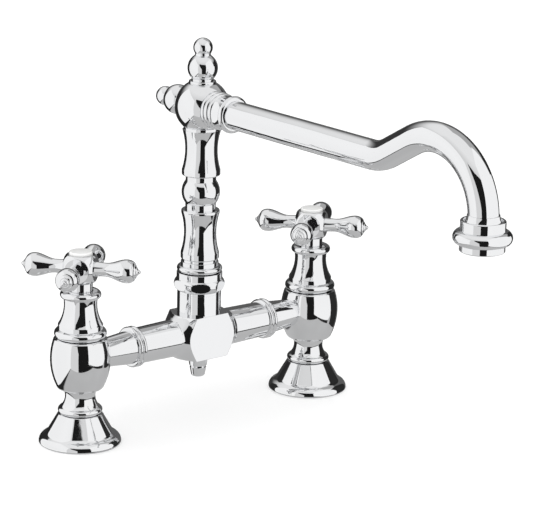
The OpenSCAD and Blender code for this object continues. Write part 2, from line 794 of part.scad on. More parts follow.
// Headwork: cage around the discs, thread, hexagon and the gland that guides the spindle
module headwork(side) {
    color("goldenrod") at_pillar(side) difference() {
        union() {
            bore(cage_d, cage_z, body_top);
            bore(mouth_d - 2 * slip_fit, mouth_z, body_top);
            translate([0, 0, body_top]) cylinder(d = hex_flats / cos(30), h = hex_h, $fn = 6);
            bore(gland_d, gland_z, gland_top);
        }
        bore(cage_bore_d, cage_z - cut, cage_roof);
        bore(spindle_d + 2 * running_fit, cage_roof - cut, gland_top + cut);
        for (a = [0, 90]) {
            rotate([0, 0, a]) translate([-cage_d, -window_w / 2, cage_z + window_rise])
                cube([2 * cage_d, window_w, window_h]);
        }
    }
}

// Outline of one port of a disc
module port(angle) {
    polygon(concat(
        arc(0, 0, port_inner_r, angle - port_angle / 2, angle + port_angle / 2, small_steps),
        arc(0, 0, port_r, angle + port_angle / 2, angle - port_angle / 2, arc_steps)
    ));
}

// Disc of height h with two facing ports
module ported_disc(d, z, h, angle) {
    translate([0, 0, z]) linear_extrude(h) difference() {
        circle(d = d);
        port(angle);
        port(angle + 180);
    }
}

// Ceramic disc that stays in the cage
module fixed_disc(side) {
    color("ivory") at_pillar(side) ported_disc(cage_bore_d - 2 * slip_fit, cage_z, disc_h, 0);
}

// Ceramic disc that the spindle turns, drawn closed
module moving_disc(side) {
    color("white") at_pillar(side) ported_disc(cage_bore_d - 2 * moving_gap, moving_z, disc_h, 90);
}

// Spindle with its drive plate, shoulder and splined top
module spindle(side) {
    color("darkgoldenrod") at_pillar(side) difference() {
        union() {
            ported_disc(drive_d, drive_z, drive_h, 90);
            bore(spindle_d - 2 * running_fit, drive_z, gland_top);
            bore(shoulder_d, cage_roof - moving_gap - shoulder_h, cage_roof - moving_gap);
            bore(spline_d, gland_top - cut, spindle_top);
        }
        bore(screw_d + 2 * slip_fit, spindle_top - screw_hole_depth, spindle_top + cut);
    }
}

// Bell shaped shroud over the headwork
module shroud(side) {
    bell_r = sag_radius(shroud_waist_h - shroud_band_h, (shroud_band_d - shroud_waist_d) / 2);
    bore_r = bell_r + shroud_wall;
    bead_z = body_top + shroud_bead_r;
    waist_z = body_top + shroud_waist_h;
    ring_z = body_top + shroud_ring_h;
    band_z = body_top + shroud_band_h;
    color("silver") at_pillar(side) turned(concat(
        [[shroud_foot_bore / 2, body_top]],
        arc(shroud_bead_d / 2 - shroud_bead_r, bead_z, shroud_bead_r, -90, shroud_bead_end, lip_steps),
        [[shroud_band_d / 2, bead_z + shroud_bead_r], [shroud_band_d / 2, band_z]],
        hollow(shroud_waist_d / 2, waist_z, bell_r, band_z, ring_z - shroud_ring_r, ring_steps),
        arc(shroud_ring_d / 2 - shroud_ring_r, ring_z, shroud_ring_r,
            shroud_ring_start, 90, bead_steps),
        [[stem_d / 2 + moving_gap, shroud_top], [stem_d / 2 + moving_gap, ring_z - shroud_ring_r]],
        arc(shroud_waist_d / 2 + bell_r, waist_z, bore_r,
            180 - asin((ring_z - shroud_ring_r - waist_z) / bore_r), 180 + shroud_bore_turn),
        [[shroud_foot_bore / 2, body_top + shroud_foot_h]]
    ));
}

// Handle hub with its stem
module handle_hub(side) {
    color("silver") at_pillar(side) difference() {
        union() {
            intersection() {
                translate([0, 0, hub_mid]) sphere(d = hub_ball_d);
                rotate([0, 0, handle_angle(side)]) translate([-hub_w / 2, -hub_w / 2, hub_z])
                    cube([hub_w, hub_w, hub_h]);
            }
            bore(stem_d, stem_z, hub_z + cut);
        }
        bore(spline_d + 2 * slip_fit, stem_z - cut, spindle_top);
        bore(screw_d + 2 * slip_fit, spindle_top - cut, web_top + cut);
        bore(counterbore_d, web_top, hub_top + cut);
        for (n = [0:3]) {
            translate([0, 0, hub_mid]) rotate([0, 90, handle_angle(side) + 90 * n])
                bore(arm_screw_d + 2 * slip_fit, hub_w / 2 - arm_screw_len - end_gap, hub_w);
        }
    }
}

// Points along a handle arm from the hub's face to the tip
function arm_outline() = concat(
    [[0, 0]],
    [for (i = [0:small_steps]) let (t = i / small_steps)
        [(arm_foot_d - (arm_foot_d - arm_waist_d) * sin(90 * t)) / 2, arm_waist_at * t]],
    [for (i = [1:bead_steps]) let (t = i / bead_steps)
        [(arm_waist_d + (arm_bulb_d - arm_waist_d) * (1 - cos(180 * t)) / 2) / 2,
            arm_waist_at + (arm_bulb_at - arm_waist_at) * t]],
    [for (i = [1:bulb_steps]) let (t = i / bulb_steps)
        [(step_one_d + (arm_bulb_d - step_one_d) * cos(90 * t)) / 2,
            arm_bulb_at + (arm_bulb_end - arm_bulb_at) * sin(90 * t)]],
    [
        [step_one_d / 2, arm_bulb_end + step_w],
        [step_two_d / 2, arm_bulb_end + step_w],
        [step_two_d / 2, arm_bulb_end + 2 * step_w]
    ],
    arc(0, arm_len - arm_tip_r, arm_tip_r, arm_tip_start, 90, edge_steps)
);

// One arm of a handle
module handle_arm(side, n) {
    color("silver") at_pillar(side) translate([0, 0, hub_mid])
        rotate([0, 90, handle_angle(side) + 90 * n]) translate([0, 0, hub_w / 2]) {
            turned(arm_outline());
            bore(arm_screw_d, -arm_screw_len, cut);
        }
}

// White index disc on top of a handle
module index_disc(side) {
    color("white") at_pillar(side) {
        turned(concat(
            [[0, hub_top], [index_d / 2, hub_top]],
            arc(index_d / 2 - index_edge_r, hub_top + index_h - index_edge_r, index_edge_r,
                0, 90, edge_steps),
            [[0, hub_top + index_h]]
        ));
        bore(counterbore_d - 2 * slip_fit, hub_top - index_plug_h, hub_top + cut / 2);
    }
}

// Screw that holds a handle on its spindle
module handle_screw(side) {
    color("gray") at_pillar(side) difference() {
        union() {
            bore(screw_head_d, web_top, web_top + screw_head_h);
            bore(screw_d, web_top - screw_len, web_top + cut);
        }
        translate([0, 0, web_top + screw_head_h * socket_floor_share])
            cylinder(d = screw_socket / cos(30), h = screw_head_h, $fn = 6);
    }
}

// Arm of the bridge from the mixing block to a pillar's stub
module bridge_arm(side) {
    seat = stub_len - arm_spigot_len / 2;
    groove_r = arm_spigot_d / 2 - bridge_oring_w + slip_fit;
    color("silver") toward_block(side) turned(concat(
        [
            [bridge_bore_d / 2, stub_len - arm_spigot_len],
            [arm_spigot_d / 2, stub_len - arm_spigot_len],
            [arm_spigot_d / 2, seat - bridge_oring_w * groove_share],
            [groove_r, seat - bridge_oring_w * groove_share],
            [groove_r, seat + bridge_oring_w * groove_share],
            [arm_spigot_d / 2, seat + bridge_oring_w * groove_share],
            [arm_spigot_d / 2, stub_len]
        ],
        ring_curve(ring_d / 2, stub_len, arm_ring_end),
        [
            [arm_end_d / 2, arm_ring_end],
            [arm_root_d / 2, block_at],
            [arm_thread_d / 2, block_at],
            [arm_thread_d / 2, block_at + arm_thread_len],
            [bridge_bore_d / 2, block_at + arm_thread_len]
        ]
    ));
}

// Sealing ring on a bridge arm's spigot
module bridge_oring(side) {
    color("black") toward_block(side) translate([0, 0, stub_len - arm_spigot_len / 2])
        round_ring(arm_spigot_d / 2 + slip_fit - bridge_oring_w / 2, bridge_oring_w);
}

// Mixing block: square block with turned ends, and the threaded collar for the spout
module mixing_block() {
    cone_r = block_side;
    cone_at = block_half - (cone_r - arm_root_d / 2) * end_run;
    color("silver") difference() {
        union() {
            intersection() {
                translate([-block_half, -block_side / 2, block_low])
                    cube([2 * block_half, block_side, block_side]);
                translate([0, 0, bridge_z]) rotate([0, 90, 0]) turned([
                    [0, -block_half],
                    [arm_root_d / 2, -block_half],
                    [cone_r, -cone_at],
                    [cone_r, cone_at],
                    [arm_root_d / 2, block_half],
                    [0, block_half]
                ]);
            }
            bore(collar_d, bridge_z + mixing_d / 2, collar_top);
            bore(collar_thread_d, collar_top - cut, thread_top);
        }
        translate([0, 0, bridge_z]) rotate([0, 90, 0]) {
            bore(bridge_bore_d, -block_half - cut, block_half + cut);
            for (z = [-block_half - cut, block_half - arm_thread_len - end_gap]) {
                bore(arm_thread_d + 2 * slip_fit, z, z + arm_thread_len + end_gap + cut);
            }
        }
        bore(mixing_d, bridge_z - bridge_bore_d / 2, collar_bore_z + cut);
        bore(collar_bore_d, collar_bore_z, thread_top + cut);
        bore(plug_thread_d + 2 * slip_fit, block_low - cut, bridge_z);
    }
}

// Drain plug under the mixing block
module bottom_plug() {
    groove_z = block_low - plug_top_h;
    low_z = groove_z - plug_groove_h;
    end_z = low_z - plug_low_h;
    color("silver") turned(concat(
        [[0, end_z]],
        arc(plug_end_d / 2 - plug_round_r, end_z + plug_round_r, plug_round_r, -90, 0, edge_steps),
        [
            [plug_low_d / 2, low_z],
            [plug_groove_d / 2, low_z],
            [plug_groove_d / 2, groove_z],
            [plug_mid_d / 2, groove_z],
            [plug_d / 2, block_low],
            [plug_thread_d / 2, block_low],
            [plug_thread_d / 2, bridge_z - bridge_bore_d / 2],
            [0, bridge_z - bridge_bore_d / 2]
        ]
    ));
}

// Nut that keeps the spout in the collar, with six flats cut across its bead
module swivel_nut() {
    bead_z = collar_top + nut_bead_h;
    bead_r = nut_d / 2 - nut_bead_r;
    foot_angle = acos((collar_d / 2 - bead_r) / nut_bead_r);
    rim_angle = acos((nut_rim_d / 2 - bead_r) / nut_bead_r);
    color("silver") intersection() {
        turned(concat(
            [[nut_bore_d / 2, collar_top], [collar_d / 2, collar_top]],
            arc(bead_r, bead_z, nut_bead_r, -foot_angle, rim_angle, ring_steps),
            [
                [nut_rim_d / 2, nut_top - vase_edge_r / 2],
                [nut_rim_d / 2 - vase_edge_r / 2, nut_top],
                [nut_lip_d / 2, nut_top],
                [nut_lip_d / 2, nut_lip_z],
                [nut_bore_d / 2, nut_lip_z]
            ]
        ));
        translate([0, 0, collar_top - cut]) rotate([0, 0, nut_turn + 30])
            cylinder(d = nut_flats / cos(30), h = nut_h + 2 * cut, $fn = 6);
    }
}

// Plain bearing for the spout's journal
module swivel_bush() {
    color("ivory") turned([
        [bush_bore_d / 2, thread_top - bush_h],
        [collar_bore_d / 2, thread_top - bush_h],
        [collar_bore_d / 2, thread_top],
        [bush_flange_d / 2, thread_top],
        [bush_flange_d / 2, thread_top + bush_flange_h],
        [bush_bore_d / 2, thread_top + bush_flange_h]
    ]);
}

// Split ring in the journal's groove, under the nut's lip
module swivel_clip() {
    color("gray") difference() {
        bore(clip_d, clip_z, clip_z + clip_h);
        bore(journal_d - 2 * clip_groove, clip_z - cut, clip_z + clip_h + cut);
        translate([-clip_mouth / 2, 0, clip_z - cut]) cube([clip_mouth, clip_d, clip_h + 2 * cut]);
    }
}

// Sealing ring on the spout's journal, z above the journal's end
module journal_oring(z) {
    color("black") translate([0, 0, journal_z + z])
        round_ring(journal_d / 2 - seal_groove + oring_w / 2, oring_w);
}

// Socket cut in the foot of a column piece at height z
module joint_socket(z) {
    bore(joint_d + 2 * slip_fit, z - cut, z + joint_len + end_gap);
}

// Lower part of the column: journal, foot ring and lower vase
module low_stem() {
    groove_r = journal_d / 2 - seal_groove;
    step_z = stem_foot + base_ring_h;
    vase_r = sag_radius(vase_curve_h / 2, (vase_end_d - vase_waist_d) / 2);
    color("silver") difference() {
        turned(concat(
            [[0, journal_z], [journal_d / 2, journal_z], [journal_d / 2, stem_foot]],
            ring_curve(base_ring_d / 2, stem_foot, step_z),
            [
                [base_step_d / 2, step_z + vase_edge_r],
                [base_step_d / 2, step_z + base_step_h],
                [base_groove_d / 2, step_z + base_step_h],
                [base_groove_d / 2, vase_z]
            ],
            arc(vase_end_d / 2 - vase_edge_r, vase_z + vase_edge_r, vase_edge_r, -90, 0, small_steps),
            hollow(vase_waist_d / 2, low_curve_z + vase_curve_h / 2, vase_r, low_curve_z,
                low_curve_z + vase_curve_h),
            arc(vase_end_d / 2 - vase_edge_r, knop_z - vase_edge_r, vase_edge_r, 0, 90, small_steps),
            [
                [joint_d / 2, knop_z],
                [joint_d / 2, knop_z + joint_len],
                [0, knop_z + joint_len]
            ]
        ));
        bore(column_bore_d, journal_z - cut, knop_z + joint_len + cut);
        for (z = [seal_low_h, seal_high_h]) {
            difference() {
                bore(journal_d + cut, journal_z + z - oring_w * groove_share,
                    journal_z + z + oring_w * groove_share);
                bore(2 * groove_r, journal_z, journal_z + z + oring_w);
            }
        }
        difference() {
            bore(journal_d + cut, clip_z - slip_fit, clip_z + clip_h + slip_fit);
            bore(journal_d - 2 * clip_groove, clip_z - cut, clip_z + clip_h + cut);
        }
    }
}

// Ball between the two vases
module knop() {
    neck = knop_neck_d / 2;
    half_angle = asin(knop_half / (knop_d / 2));
    color("silver") difference() {
        turned(concat(
            [[0, knop_z], [neck, knop_z]],
            arc(0, knop_mid, knop_d / 2, -half_angle, half_angle, ball_steps),
            [
                [neck, high_vase_z],
                [joint_d / 2, high_vase_z],
                [joint_d / 2, high_vase_z + joint_len],
                [0, high_vase_z + joint_len]
            ]
        ));
        bore(column_bore_d, knop_z - cut, high_vase_z + joint_len + cut);
        joint_socket(knop_z);
    }
}

// Upper vase of the column
module high_stem() {
    vase_r = sag_radius(vase_curve_h / 2, (vase_end_d - vase_waist_d) / 2);
    color("silver") difference() {
        turned(concat(
            [[0, high_vase_z]],
            arc(vase_end_d / 2 - vase_edge_r, high_vase_z + vase_edge_r, vase_edge_r, -90, 0, small_steps),
            hollow(vase_waist_d / 2, high_curve_z + vase_curve_h / 2, vase_r, high_curve_z,
                high_curve_z + vase_curve_h),
            [
                [elbow_neck_d / 2, elbow_neck_z],
                [elbow_neck_d / 2, elbow_seat_z],
                [joint_d / 2, elbow_seat_z],
                [joint_d / 2, elbow_seat_z + joint_len],
                [0, elbow_seat_z + joint_len]
            ]
        ));
        bore(column_bore_d, high_vase_z - cut, elbow_seat_z + joint_len + cut);
        joint_socket(high_vase_z);
    }
}

// Ball elbow with four flat seats: stem, spout collar and two finials
module elbow() {
    color("silver") difference() {
        intersection() {
            translate([0, 0, spout_z]) sphere(d = elbow_d);
            translate([-elbow_d / 2, -collar_at, elbow_seat_z])
                cube([elbow_d, collar_at + finial_at, elbow_drop + finial_at]);
        }
        bore(column_bore_d, elbow_seat_z - cut, spout_z);
        joint_socket(elbow_seat_z);
        along_spout() {
            bore(tube_bore_d, 0, elbow_d);
            bore(joint_d + 2 * slip_fit, collar_at - joint_len - end_gap, elbow_d);
            rotate([180, 0, 0]) bore(finial_screw_d + 2 * slip_fit, finial_screw_at, elbow_d);
        }
        translate([0, 0, spout_z]) bore(finial_screw_d + 2 * slip_fit, finial_screw_at, elbow_d);
    }
}

// Finial along Z, measured from the elbow's centre
module finial() {
    ball_at = finial_at + finial_ball_rise;
    tip_at = ball_at + finial_tip_rise;
    foot_end = finial_at + finial_foot_h;
    color("silver") union() {
        turned(concat(
            [[0, finial_at]],
            [[finial_foot_d / 2, finial_at]],
            arc(finial_foot_d / 2 - finial_foot_h / 2, foot_end - finial_foot_h / 2,
                finial_foot_h / 2, 0, 90, small_steps),
            [[finial_neck_d / 2, foot_end], [finial_neck_d / 2, ball_at], [0, ball_at]]
        ));
        translate([0, 0, ball_at]) sphere(d = finial_ball_d);
        bore(finial_waist_d, ball_at, tip_at);
        translate([0, 0, tip_at]) sphere(d = finial_tip_d);
        bore(finial_screw_d, finial_at - finial_screw_len, finial_at + finial_foot_h / 2);
    }
}

// Finial on top of the elbow
module top_finial() {
    translate([0, 0, spout_z]) finial();
}

// Finial behind the elbow, in line with the spout
module rear_finial() {
    along_spout() rotate([180, 0, 0]) finial();
}

// Collar between the elbow and the spout tube
module spout_collar() {
    waist_r = sag_radius(collar_waist_len / 2, (collar_waist_end_d - collar_waist_d) / 2);
    second_at = collar_at + first_ring_w;
    color("silver") along_spout() turned(concat(
        [
            [tube_bore_d / 2, collar_at - joint_len],
            [joint_d / 2, collar_at - joint_len],
            [joint_d / 2, collar_at]
        ],
        ring_curve(first_ring_d / 2, collar_at, second_at),
        ring_curve(second_ring_d / 2, second_at, waist_at),
        hollow(collar_waist_d / 2, waist_at + collar_waist_len / 2, waist_r, waist_at, end_ring_at),
        ring_curve(end_ring_d / 2, end_ring_at, collar_end),
        [
            [tube_d / 2 + slip_fit, collar_end],
            [tube_d / 2 + slip_fit, tube_at],
            [tube_bore_d / 2, tube_at]
        ]
    ));
}

// Straight run of tube along Z, made thicker by swell on both sides of its wall
module tube_run(length, swell = 0) {
    linear_extrude(length) difference() {
        circle(d = tube_d + 2 * swell);
        circle(d = tube_bore_d - 2 * swell);
    }
}

// Bend of tube in the Y and Z plane about the X axis, from the +Y side
module tube_bend(r, angle) {
    rotate([90, 0, 90]) rotate_extrude(angle = angle) translate([r, 0]) difference() {
        circle(d = tube_d);
        circle(d = tube_bore_d);
    }
}

// Spout tube: straight run, dip, rise, crest and drop into the nozzle
module spout_tube() {
    rise_at = low_bend_at + low_bend_r * sin(rise_angle);
    rise_z = spout_z + low_bend_r * (1 - cos(rise_angle));
    color("silver") union() {
        translate([0, -low_bend_at, spout_z]) {
            rotate([-90, 0, 0]) tube_run(low_bend_at - tube_at);
            translate([0, 0, low_bend_r]) rotate([-90, 0, 0]) tube_bend(low_bend_r, -rise_angle);
        }
        translate([0, -rise_at, rise_z]) rotate([90 - rise_angle, 0, 0])
            translate([0, 0, -rise_lap]) tube_run(rise_run + 2 * rise_lap, rise_swell);
        translate([0, -nozzle_reach, high_bend_z]) {
            translate([0, high_bend_r, 0]) rotate([180, 0, 0])
                tube_bend(high_bend_r, -90 - rise_angle);
            rotate([180, 0, 0]) tube_run(tube_end_len);
        }
    }
}

// Places a piece on the nozzle's axis
module at_nozzle() {
    translate([0, -nozzle_reach, 0]) children();
}

// Nozzle: lower rim, round ring and cup, with a flare around the tube
module nozzle() {
    cup_floor = high_bend_z - cup_depth;
    ring_z = nozzle_z + nozzle_ring_h;
    ring_r = nozzle_ring_d / 2 - nozzle_ring_r;
    meet = acos((nozzle_d / 2 - ring_r) / nozzle_ring_r);
    cup_r = nozzle_d / 2 - cup_rim_w;
    tube_r = tube_d / 2 + slip_fit;
    flare_r = tube_r + flare_edge;
    color("silver") at_nozzle() turned(concat(
        [[nozzle_thread_d / 2, nozzle_z]],
        arc(nozzle_d / 2 - nozzle_edge_r, nozzle_z + nozzle_edge_r, nozzle_edge_r, -90, 0, small_steps),
        arc(ring_r, ring_z, nozzle_ring_r, -meet, meet, ring_steps),
        arc(nozzle_d / 2 - nozzle_edge_r, high_bend_z - nozzle_edge_r, nozzle_edge_r, 0, 90, small_steps),
        [[cup_r, high_bend_z], [cup_r, cup_floor], [tube_r + flare_w, cup_floor]],
        [for (i = [1:flare_steps]) let (t = i / flare_steps)
            [flare_r + (tube_r + flare_w - flare_r) * pow(1 - t, 2),
                cup_floor + (cup_depth + flare_h) * t]],
        [
            [tube_r, high_bend_z + flare_h],
            [tube_r, tube_end_z],
            [nozzle_bore_d / 2, tube_end_z],
            [nozzle_bore_d / 2, nozzle_seat_z],
            [nozzle_thread_d / 2, nozzle_seat_z]
        ]
    ));
}

// Rubber washer above the aerator
module aerator_washer() {
    color("black") at_nozzle() difference() {
        bore(aerator_d, aerator_top, nozzle_seat_z);
        bore(nozzle_bore_d, aerator_top - cut, nozzle_seat_z + cut);
    }
}

// Threaded housing of the aerator
module aerator_housing() {
    color("silver") at_nozzle() difference() {
        bore(aerator_d, aerator_z, aerator_top);
        bore(aerator_bore_d, aerator_z + aerator_lip_h, aerator_top + cut);
        bore(aerator_bore_d - 2 * aerator_lip_w, aerator_z - cut, aerator_top);
    }
}

// Plastic insert that mixes air into the water
module aerator_insert() {
    ring_r = aerator_bore_d / 4;
    color("whitesmoke") at_nozzle() difference() {
        bore(aerator_bore_d - 2 * slip_fit, insert_z, aerator_top);
        for (n = [0:channel_count - 1]) {
            rotate([0, 0, 360 * n / channel_count]) translate([ring_r + channel_d / 2, 0, 0])
                bore(channel_d, insert_z - cut, aerator_top + cut);
        }
    }
}

// Screen under the insert, with rings of holes
module aerator_screen() {
    pitch = aerator_bore_d / 2 / (screen_rings + screen_rim_share);
    color("gray") at_nozzle() translate([0, 0, aerator_z + aerator_lip_h]) linear_extrude(screen_h)
        difference() {
            circle(d = aerator_bore_d - 2 * slip_fit);
            circle(d = screen_hole_d, $fn = hole_faces);
            for (k = [1:screen_rings], n = [0:6 * k - 1]) {
                rotate(60 * n / k) translate([pitch * k, 0]) circle(d = screen_hole_d, $fn = hole_faces);
            }
        }
}

foot(hot);  // hot_foot
foot_seal(hot);  // hot_foot_seal
valve_body(hot);  // hot_valve_body
seat_seal(hot);  // hot_seat_seal
headwork(hot);  // hot_headwork
fixed_disc(hot);  // hot_fixed_disc
moving_disc(hot);  // hot_moving_disc
spindle(hot);  // hot_spindle
shroud(hot);  // hot_shroud
handle_hub(hot);  // hot_handle_hub
handle_arm(hot, 0);  // hot_arm_1
handle_arm(hot, 1);  // hot_arm_2
handle_arm(hot, 2);  // hot_arm_3
handle_arm(hot, 3);  // hot_arm_4
index_disc(hot);  // hot_index_disc
handle_screw(hot);  // hot_handle_screw
bridge_arm(hot);  // hot_bridge_arm
bridge_oring(hot);  // hot_bridge_oring
foot(cold);  // cold_foot
foot_seal(cold);  // cold_foot_seal
valve_body(cold);  // cold_valve_body
seat_seal(cold);  // cold_seat_seal
headwork(cold);  // cold_headwork
fixed_disc(cold);  // cold_fixed_disc
moving_disc(cold);  // cold_moving_disc
spindle(cold);  // cold_spindle
shroud(cold);  // cold_shroud
handle_hub(cold);  // cold_handle_hub
handle_arm(cold, 0);  // cold_arm_1
handle_arm(cold, 1);  // cold_arm_2
handle_arm(cold, 2);  // cold_arm_3
handle_arm(cold, 3);  // cold_arm_4
index_disc(cold);  // cold_index_disc
handle_screw(cold);  // cold_handle_screw
bridge_arm(cold);  // cold_bridge_arm
bridge_oring(cold);  // cold_bridge_oring
mixing_block();
bottom_plug();
swivel_nut();
swivel_bush();
swivel_clip();
journal_oring(seal_low_h);  // low_oring
journal_oring(seal_high_h);  // high_oring
low_stem();
knop();
high_stem();
elbow();
top_finial();
rear_finial();
spout_collar();
spout_tube();
nozzle();
aerator_washer();
aerator_housing();
aerator_insert();
aerator_screen();
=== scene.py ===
"""Looks of a deck mounted bridge mixer tap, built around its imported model.

Every chrome piece that shows, and each white index disc, is turned, cut or bent again here with
finer curves and softened edges, in place of its CAD node. Seals, headworks, their discs, the
bearing, the clip, the screws and the aerator stay as the CAD nodes and get their finish here.
Sizes are in millimetres, as in the part's source, and the places come from the boxes of the
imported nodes.
"""

import json
import logging
import math
from dataclasses import dataclass
from enum import Enum
from typing import ClassVar, Iterable, Sequence

import bmesh
import bpy
from mathutils import Matrix, Vector


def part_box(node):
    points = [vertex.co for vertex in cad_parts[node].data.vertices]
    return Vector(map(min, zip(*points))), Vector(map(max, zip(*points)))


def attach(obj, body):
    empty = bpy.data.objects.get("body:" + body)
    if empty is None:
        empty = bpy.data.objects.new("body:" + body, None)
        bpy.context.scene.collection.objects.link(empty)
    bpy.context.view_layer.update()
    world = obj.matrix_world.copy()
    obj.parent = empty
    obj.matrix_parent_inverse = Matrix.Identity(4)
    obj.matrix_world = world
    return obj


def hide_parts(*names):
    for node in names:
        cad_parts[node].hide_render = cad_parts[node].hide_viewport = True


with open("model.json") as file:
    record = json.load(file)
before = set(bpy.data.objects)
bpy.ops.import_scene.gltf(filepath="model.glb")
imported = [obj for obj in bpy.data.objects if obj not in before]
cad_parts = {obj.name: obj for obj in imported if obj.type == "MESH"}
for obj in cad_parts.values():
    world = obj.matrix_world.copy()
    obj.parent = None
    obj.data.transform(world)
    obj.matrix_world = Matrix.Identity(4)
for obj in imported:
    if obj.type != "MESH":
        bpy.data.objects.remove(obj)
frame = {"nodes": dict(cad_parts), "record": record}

LOG = logging.getLogger("tap")
MM = 0.001
RADIAN = math.degrees(1)
IMAGE_SIZE = (540, 517)
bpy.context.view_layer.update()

Piece = bpy.types.Object
Socket = bpy.types.NodeSocket
Triple = tuple[float, float, float]
Colour = Triple
Pair = tuple[float, float]


# --- places and angles


def low(node: str, axis: int = 2) -> float:
    """Lowest coordinate of a CAD node along an axis, in millimetres."""
    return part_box(node)[0][axis] / MM


def high(node: str, axis: int = 2) -> float:
    """Highest coordinate of a CAD node along an axis, in millimetres."""
    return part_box(node)[1][axis] / MM


def middle(node: str, axis: int = 2) -> float:
    """Middle of a CAD node's box along an axis, in millimetres."""
    return (low(node, axis) + high(node, axis)) / 2


def sag_radius(half: float, sag: float) -> float:
    """Radius of the arc that drops by sag over half a chord."""
    return (half * half + sag * sag) / (2 * sag)


def asin(ratio: float) -> float:
    """Angle in degrees whose sine is the ratio."""
    return math.degrees(math.asin(ratio))


def acos(ratio: float) -> float:
    """Angle in degrees whose cosine is the ratio."""
    return math.degrees(math.acos(ratio))


def around(x: float, z: float, radius: float, degrees: float) -> Pair:
    """Point of a circle about x and z, at an angle above its level radius."""
    angle = math.radians(degrees)
    return x + radius * math.cos(angle), z + radius * math.sin(angle)


def moved(x: float = 0.0, y: float = 0.0, z: float = 0.0) -> Matrix:
    """Matrix that moves by millimetres."""
    return Matrix.Translation(Vector((x, y, z)) * MM)


def turned_about(axis: str, degrees: float) -> Matrix:
    """Matrix that turns about X, Y or Z."""
    return Matrix.Rotation(math.radians(degrees), 4, axis)


class Side(Enum):
    """The two pillars: hot at -X and cold at +X."""

    HOT = "hot"
    COLD = "cold"

    @property
    def x(self) -> float:
        """Place of the pillar's axis along X, in millimetres."""
        return middle(f"{self.value}_foot", 0)

    def node(self, part: str) -> str:
        """Name of the side's CAD node for a part."""
        return f"{self.value}_{part}"


# --- modelling


